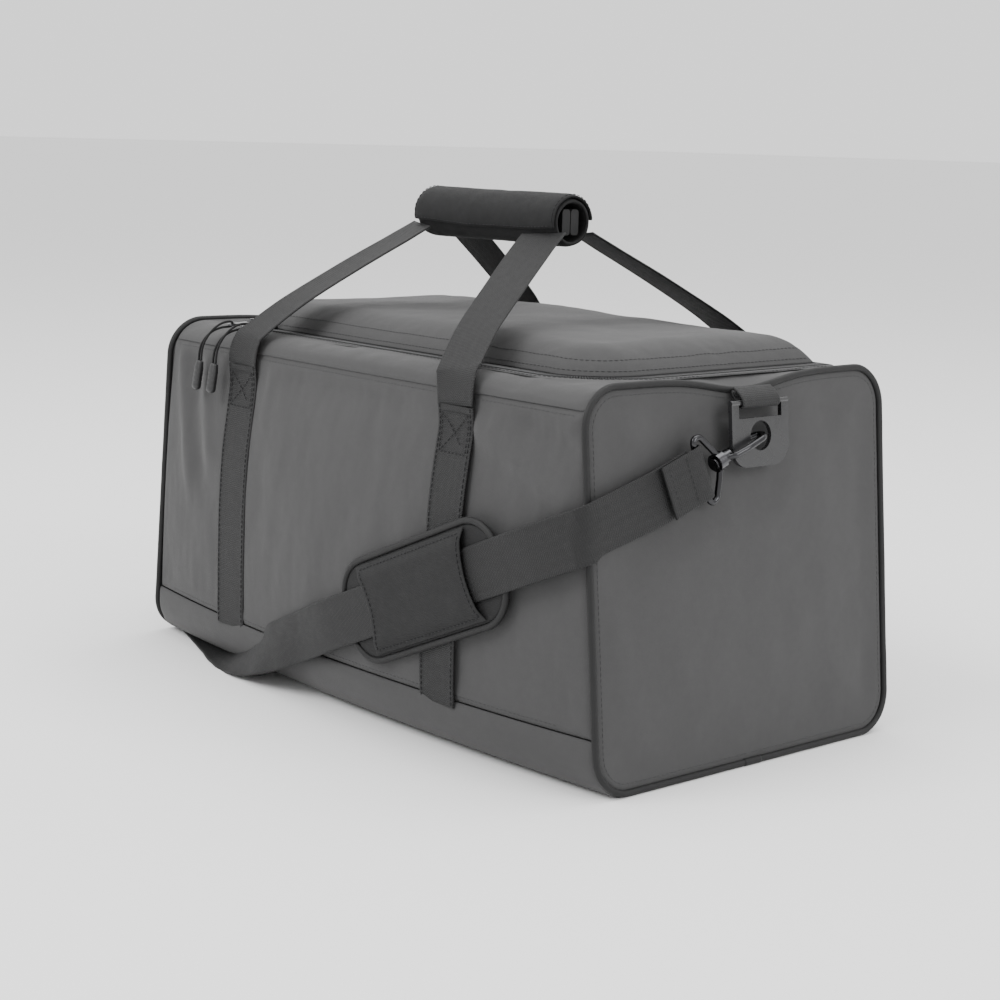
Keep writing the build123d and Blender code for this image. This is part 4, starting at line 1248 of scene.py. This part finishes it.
# ---------------------------------------------------------------- shoulder pad
def rounded(length, width, corner, count=18):
    """Closed outline of a rounded rectangle in the pad's axes."""
    points = []
    for sx, sy, first in ((1, 1, 0.0), (-1, 1, 0.5), (-1, -1, 1.0), (1, -1, 1.5)):
        cx, cy = sx * (length / 2 - corner), sy * (width / 2 - corner)
        for i in range(count + 1):
            angle = math.pi * (first + 0.5 * i / count)
            points.append((cx + corner * math.cos(angle), cy + corner * math.sin(angle)))
    dense = []
    for (a, b), (c, d) in zip(points, points[1:] + points[:1]):
        pieces = max(int(math.hypot(c - a, d - b) / (5 * MM)), 1)
        dense += [(mix(a, c, i / pieces), mix(b, d, i / pieces)) for i in range(pieces)]
    return dense


def pad_slab(name, outline, low, high, crown, body, slot, nodes, seed):
    """Cushioned slab: crowned face, rounded rim, flat back."""
    levels = [(0.0, 0.0), (0.35, 0.0), (0.75, 0.0), (0.96, 0.0), (1.0, 0.25), (1.0, 0.7), (0.965, 1.0), (0.90, 1.08)]
    levels += [(0.80, 1.12), (0.68, 1.15), (0.52, 1.18), (0.36, 1.2), (0.2, 1.2), (0.08, 1.2)]
    rows = []
    for scale, height in levels:
        row = []
        for a, b in outline:
            pa, pb = a * scale, b * scale
            w = mix(low, high, min(height, 1.0)) + crown * max(height - 1, 0) / 0.2
            if height > 0.9:
                w += 0.35 * MM * fold_noise((pa, pb, 0), 40.0, seed)
            row.append((pad_place(pa, pb, w), (pa, pb)))
        rows.append(row)
    piece = grid_piece(name, rows, wrap=True)
    mesh = bmesh.new()
    mesh.from_mesh(piece.data)
    bmesh.ops.holes_fill(mesh, edges=[e for e in mesh.edges if e.is_boundary])
    bmesh.ops.recalc_face_normals(mesh, faces=mesh.faces)
    mesh.to_mesh(piece.data)
    mesh.free()
    for polygon in piece.data.polygons:
        polygon.use_smooth = True
    add_modifier(piece, "SUBSURF", levels=1, render_levels=1)
    finish_piece(piece, body, slot, nodes)
    return piece


def make_pad():
    """Shoulder pad: cushioned base, bound edge, and the sleeve that the strap runs through."""
    base = pad_slab("pad_cushion", rounded(0.166, 0.069, 0.025), 2.4 * MM, 5.5 * MM, 0.25 * MM, "pad", "pad_fabric", ["pad_base"], 101.0)
    rim = [pad_place(a, b, 4.2 * MM) for a, b in rounded(0.170, 0.073, 0.027)]
    binding = tube("pad_edge", rim, 2.5 * MM, sides=10, closed=True)
    finish_piece(binding, "pad", "binding", ["pad_binding"])
    rows = []
    half_b = 32.5 * MM
    for i, p in enumerate(eased(36, 0.6)):
        row = []
        for q in eased(24, 0.6):
            b = mix(-half_b, half_b, q)
            bite = 7.5 * MM * (1 - (b / half_b) ** 2)
            half_a = 61 * MM - bite
            a = mix(-half_a, half_a, p)
            away = min(half_b - abs(b), half_a - abs(a))
            w = 6.4 * MM + 3.3 * MM * smooth((half_b - abs(b)) / (10 * MM)) + 0.5 * MM * smooth(away / (20 * MM))
            w += 0.4 * MM * fold_noise((a, b, 0), 30.0, 107.0) * smooth(away / (8 * MM))
            row.append((pad_place(a, b, w), (a, b)))
        rows.append(row)
    sleeve = grid_piece("pad_cover", rows)
    thicken(sleeve, 1.2 * MM)
    finish_piece(sleeve, "pad", "pad_fabric", ["pad_sleeve"])
    tree = surface_of(sleeve)
    for name, edge in (("low", -1), ("high", 1)):
        path = []
        for i in range(60):
            a = mix(-57, 57, i / 59) * MM
            start = pad_place(a, edge * 29.5 * MM, 40 * MM)
            hit = tree.ray_cast(start, -PAD_OUT)
            if hit[0] is not None:
                path.append((hit[0], PAD_OUT))
        stitches(f"pad_thread_{name}", path, "pad")
    for name, edge in (("left", -1), ("right", 1)):
        path = []
        for i in range(30):
            b = mix(-30, 30, i / 29) * MM
            a = edge * (61 * MM - 7.5 * MM * (1 - (b / half_b) ** 2) - 3.2 * MM)
            hit = tree.ray_cast(pad_place(a, b, 40 * MM), -PAD_OUT)
            if hit[0] is not None:
                path.append((hit[0], PAD_OUT))
        stitches(f"pad_thread_{name}", path, "pad")


make_pad()


# ---------------------------------------------------------------- seams: rows of stitches on the cloth
def seam_rows():
    """Topstitching beside the zip, the side seams and the lid's edge."""
    for name, grow, tree, body in (
        ("surround_thread", CLOTH_GROW + 2.4 * MM, SURROUND_TREE, "root"), ("lid_thread", -CLOTH_GROW - 2.4 * MM, LID_TREE, "lid"),
        ("lid_thread_far", -CLOTH_GROW - 8.5 * MM, LID_TREE, "lid"),
    ):
        path = [above(tree, x, y) for x, y in zip_line(grow, 300) if y < HINGE_Y - 3 * MM]
        stitches(name, path, body, slot="thread_grey", radius=0.24 * MM, lift=0.0001)
    for side, face in ((-1, "front"), (1, "back")):
        for label, z in (("low", SIDE_SEAM + 4.5 * MM), ("high", TOP_SEAM - 4.5 * MM)):
            path = []
            for i in range(180):
                x = mix(-0.243, 0.243, i / 179)
                path.append((Vector((x, side_y(x, z, side), z)), Vector((0, side, 0))))
            stitches(f"{face}_seam_{label}", path, "root", slot="thread_grey", radius=0.22 * MM, lift=0.0)
    for side in ("right", "left"):
        matrix = end_matrix(side)
        outward = matrix.to_3x3() @ Vector((0, 0, 1))
        path = []
        for u, v in end_outline(6.2 * MM):
            start = matrix @ Vector((u, v, 30 * MM))
            hit = END_TREES[side].ray_cast(start, -outward)
            if hit[0] is not None:
                path.append((hit[0], outward))
        stitches(f"{side}_end_seam", path, "root", slot="thread_grey", radius=0.22 * MM, lift=0.0)


seam_rows()


# ---------------------------------------------------------------- pulls
CORD_POINTS = [
    (-6.9, -45.2, -30.0), (-6.2, -45.4, -22.2), (-4.7, -43.0, -13.6), (-2.5, -37.2, -5.0), (-0.7, -29.6, 0.4),
    (0.4, -21.0, 1.4), (-0.3, -21.0, -3.3), (-2.2, -28.8, -3.4), (-4.9, -37.2, -6.8), (-7.6, -43.4, -14.4),
    (-10.2, -45.4, -22.8), (-11.1, -45.2, -30.0),
]
CORNER_PLACE = Matrix.Translation((-0.172, -0.062, 0)) @ Matrix.Rotation(math.radians(-5), 4, "Z")
PULLS = {
    "a": CORNER_PLACE @ Matrix.Translation((0, -0.050, 0.272)),
    "b": Matrix.Translation((-0.157, -0.112, 0.272)),
}


def make_grip(letter, place):
    """Moulded grip: a tapered, ribbed tongue that holds the two ends of the cord."""
    local = place @ Matrix.Translation((-0.009, -0.0452, -0.030)) @ Matrix.Rotation(math.radians(-9), 4, "X")
    rows = []
    stations = 34
    for i in range(stations + 1):
        t = i / stations
        z = -24.0 * MM * t
        swell = 0.80 + 0.20 * smooth(t * 3.0)
        rib = 0.10 * max(math.sin(t * math.pi * 2 * 6), 0) * smooth((t - 0.22) * 8) * smooth((0.86 - t) * 8)
        cap = math.sqrt(max(1 - max((t - 0.86) / 0.14, 0) ** 2, 0.02)) * math.sqrt(max(1 - max((0.06 - t) / 0.06, 0) ** 2, 0.05))
        half_w, half_d = 4.5 * MM * swell * cap, 3.0 * MM * (swell - rib) * cap
        row = []
        for k in range(20):
            angle = 2 * math.pi * k / 20
            c, s = math.cos(angle), math.sin(angle)
            x = half_w * math.copysign(abs(c) ** 0.75, c)
            y = half_d * math.copysign(abs(s) ** 0.75, s)
            row.append((local @ Vector((x, y, z)), (angle * 4 * MM, z)))
        rows.append(row)
    piece = grid_piece(f"grip_{letter}", rows, wrap=True)
    mesh = bmesh.new()
    mesh.from_mesh(piece.data)
    bmesh.ops.holes_fill(mesh, edges=[e for e in mesh.edges if e.is_boundary])
    bmesh.ops.recalc_face_normals(mesh, faces=mesh.faces)
    mesh.to_mesh(piece.data)
    mesh.free()
    for polygon in piece.data.polygons:
        polygon.use_smooth = True
    return finish_piece(piece, f"pull_{letter}", "pull_grip", [f"pull_end_{letter}"])


def make_cord(letter, place):
    """Cord loop from the grip through the tab's eye and back into the grip."""
    data = bpy.data.curves.new(f"cord_{letter}", "CURVE")
    data.dimensions = "3D"
    data.bevel_depth = 0.9 * MM
    data.bevel_resolution = 4
    spline = data.splines.new("NURBS")
    spline.points.add(len(CORD_POINTS) - 1)
    for point, place_mm in zip(spline.points, CORD_POINTS):
        point.co = (*(place @ (Vector(place_mm) * MM)), 1)
    spline.order_u = 3
    spline.use_endpoint_u = True
    spline.resolution_u = 12
    piece = bpy.data.objects.new(f"cord_{letter}", data)
    bpy.context.scene.collection.objects.link(piece)
    finish_piece(piece, f"pull_{letter}", "pull_cord", [f"pull_cord_{letter}"])


for letter, place in PULLS.items():
    make_cord(letter, place)
    make_grip(letter, place)


# ---------------------------------------------------------------- inside
def make_inside():
    """Mesh pocket on the back wall with its bound top edge."""
    rows = []
    for i in range(31):
        z = mix(96, 198, i / 30) * MM
        row = []
        for k in range(61):
            x = mix(-150, 150, k / 60) * MM
            sag = 1.2 * MM * fold_noise((x, 0, z), 14.0, 131.0) * smooth(min(150 * MM - abs(x), z - 96 * MM) / (20 * MM))
            row.append(((x, half_width(x, z) - 3.4 * MM - abs(sag), z), (x, z)))
        rows.append(row)
    pocket = grid_piece("pocket_mesh", rows)
    thicken(pocket, 0.8 * MM, 0)
    finish_piece(pocket, "root", "mesh", ["mesh_pocket"])
    route = []
    for k in range(31):
        x = mix(-150, 150, k / 30) * MM
        route.append((Vector((x, half_width(x, 0.2005) - 4.2 * MM, 0.2005)), Vector((0, 0, 1))))
    finish_piece(ribbon("pocket_edge", route, width=9 * MM, thickness=1.2 * MM), "root", "binding", ["pocket_binding"])


make_inside()


# ---------------------------------------------------------------- hard parts that stay CAD nodes
HARD = {
    "hook_metal": ["right_hook", "left_hook", "right_gate", "left_gate", "right_bail", "left_bail"],
    "ring_plastic": ["right_ring", "left_ring", "strap_adjuster"],
    "zip_metal": ["slider_a", "slider_b", "pull_tab_a", "pull_tab_b"],
    "board": ["base_board"],
    "webbing": ["front_grip", "back_grip"],
}
for slot_name, nodes in HARD.items():
    for node in nodes:
        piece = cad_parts[node]
        piece.data.materials.clear()
        piece.data.materials.append(MATERIALS[slot_name])
        width = 0.25 * MM if slot_name == "zip_metal" else 0.5 * MM
        add_modifier(piece, "BEVEL", width=width, segments=2, limit_method="ANGLE", angle_limit=math.radians(40))
        for polygon in piece.data.polygons:
            polygon.use_smooth = True
        add_modifier(piece, "WEIGHTED_NORMAL", keep_sharp=True)
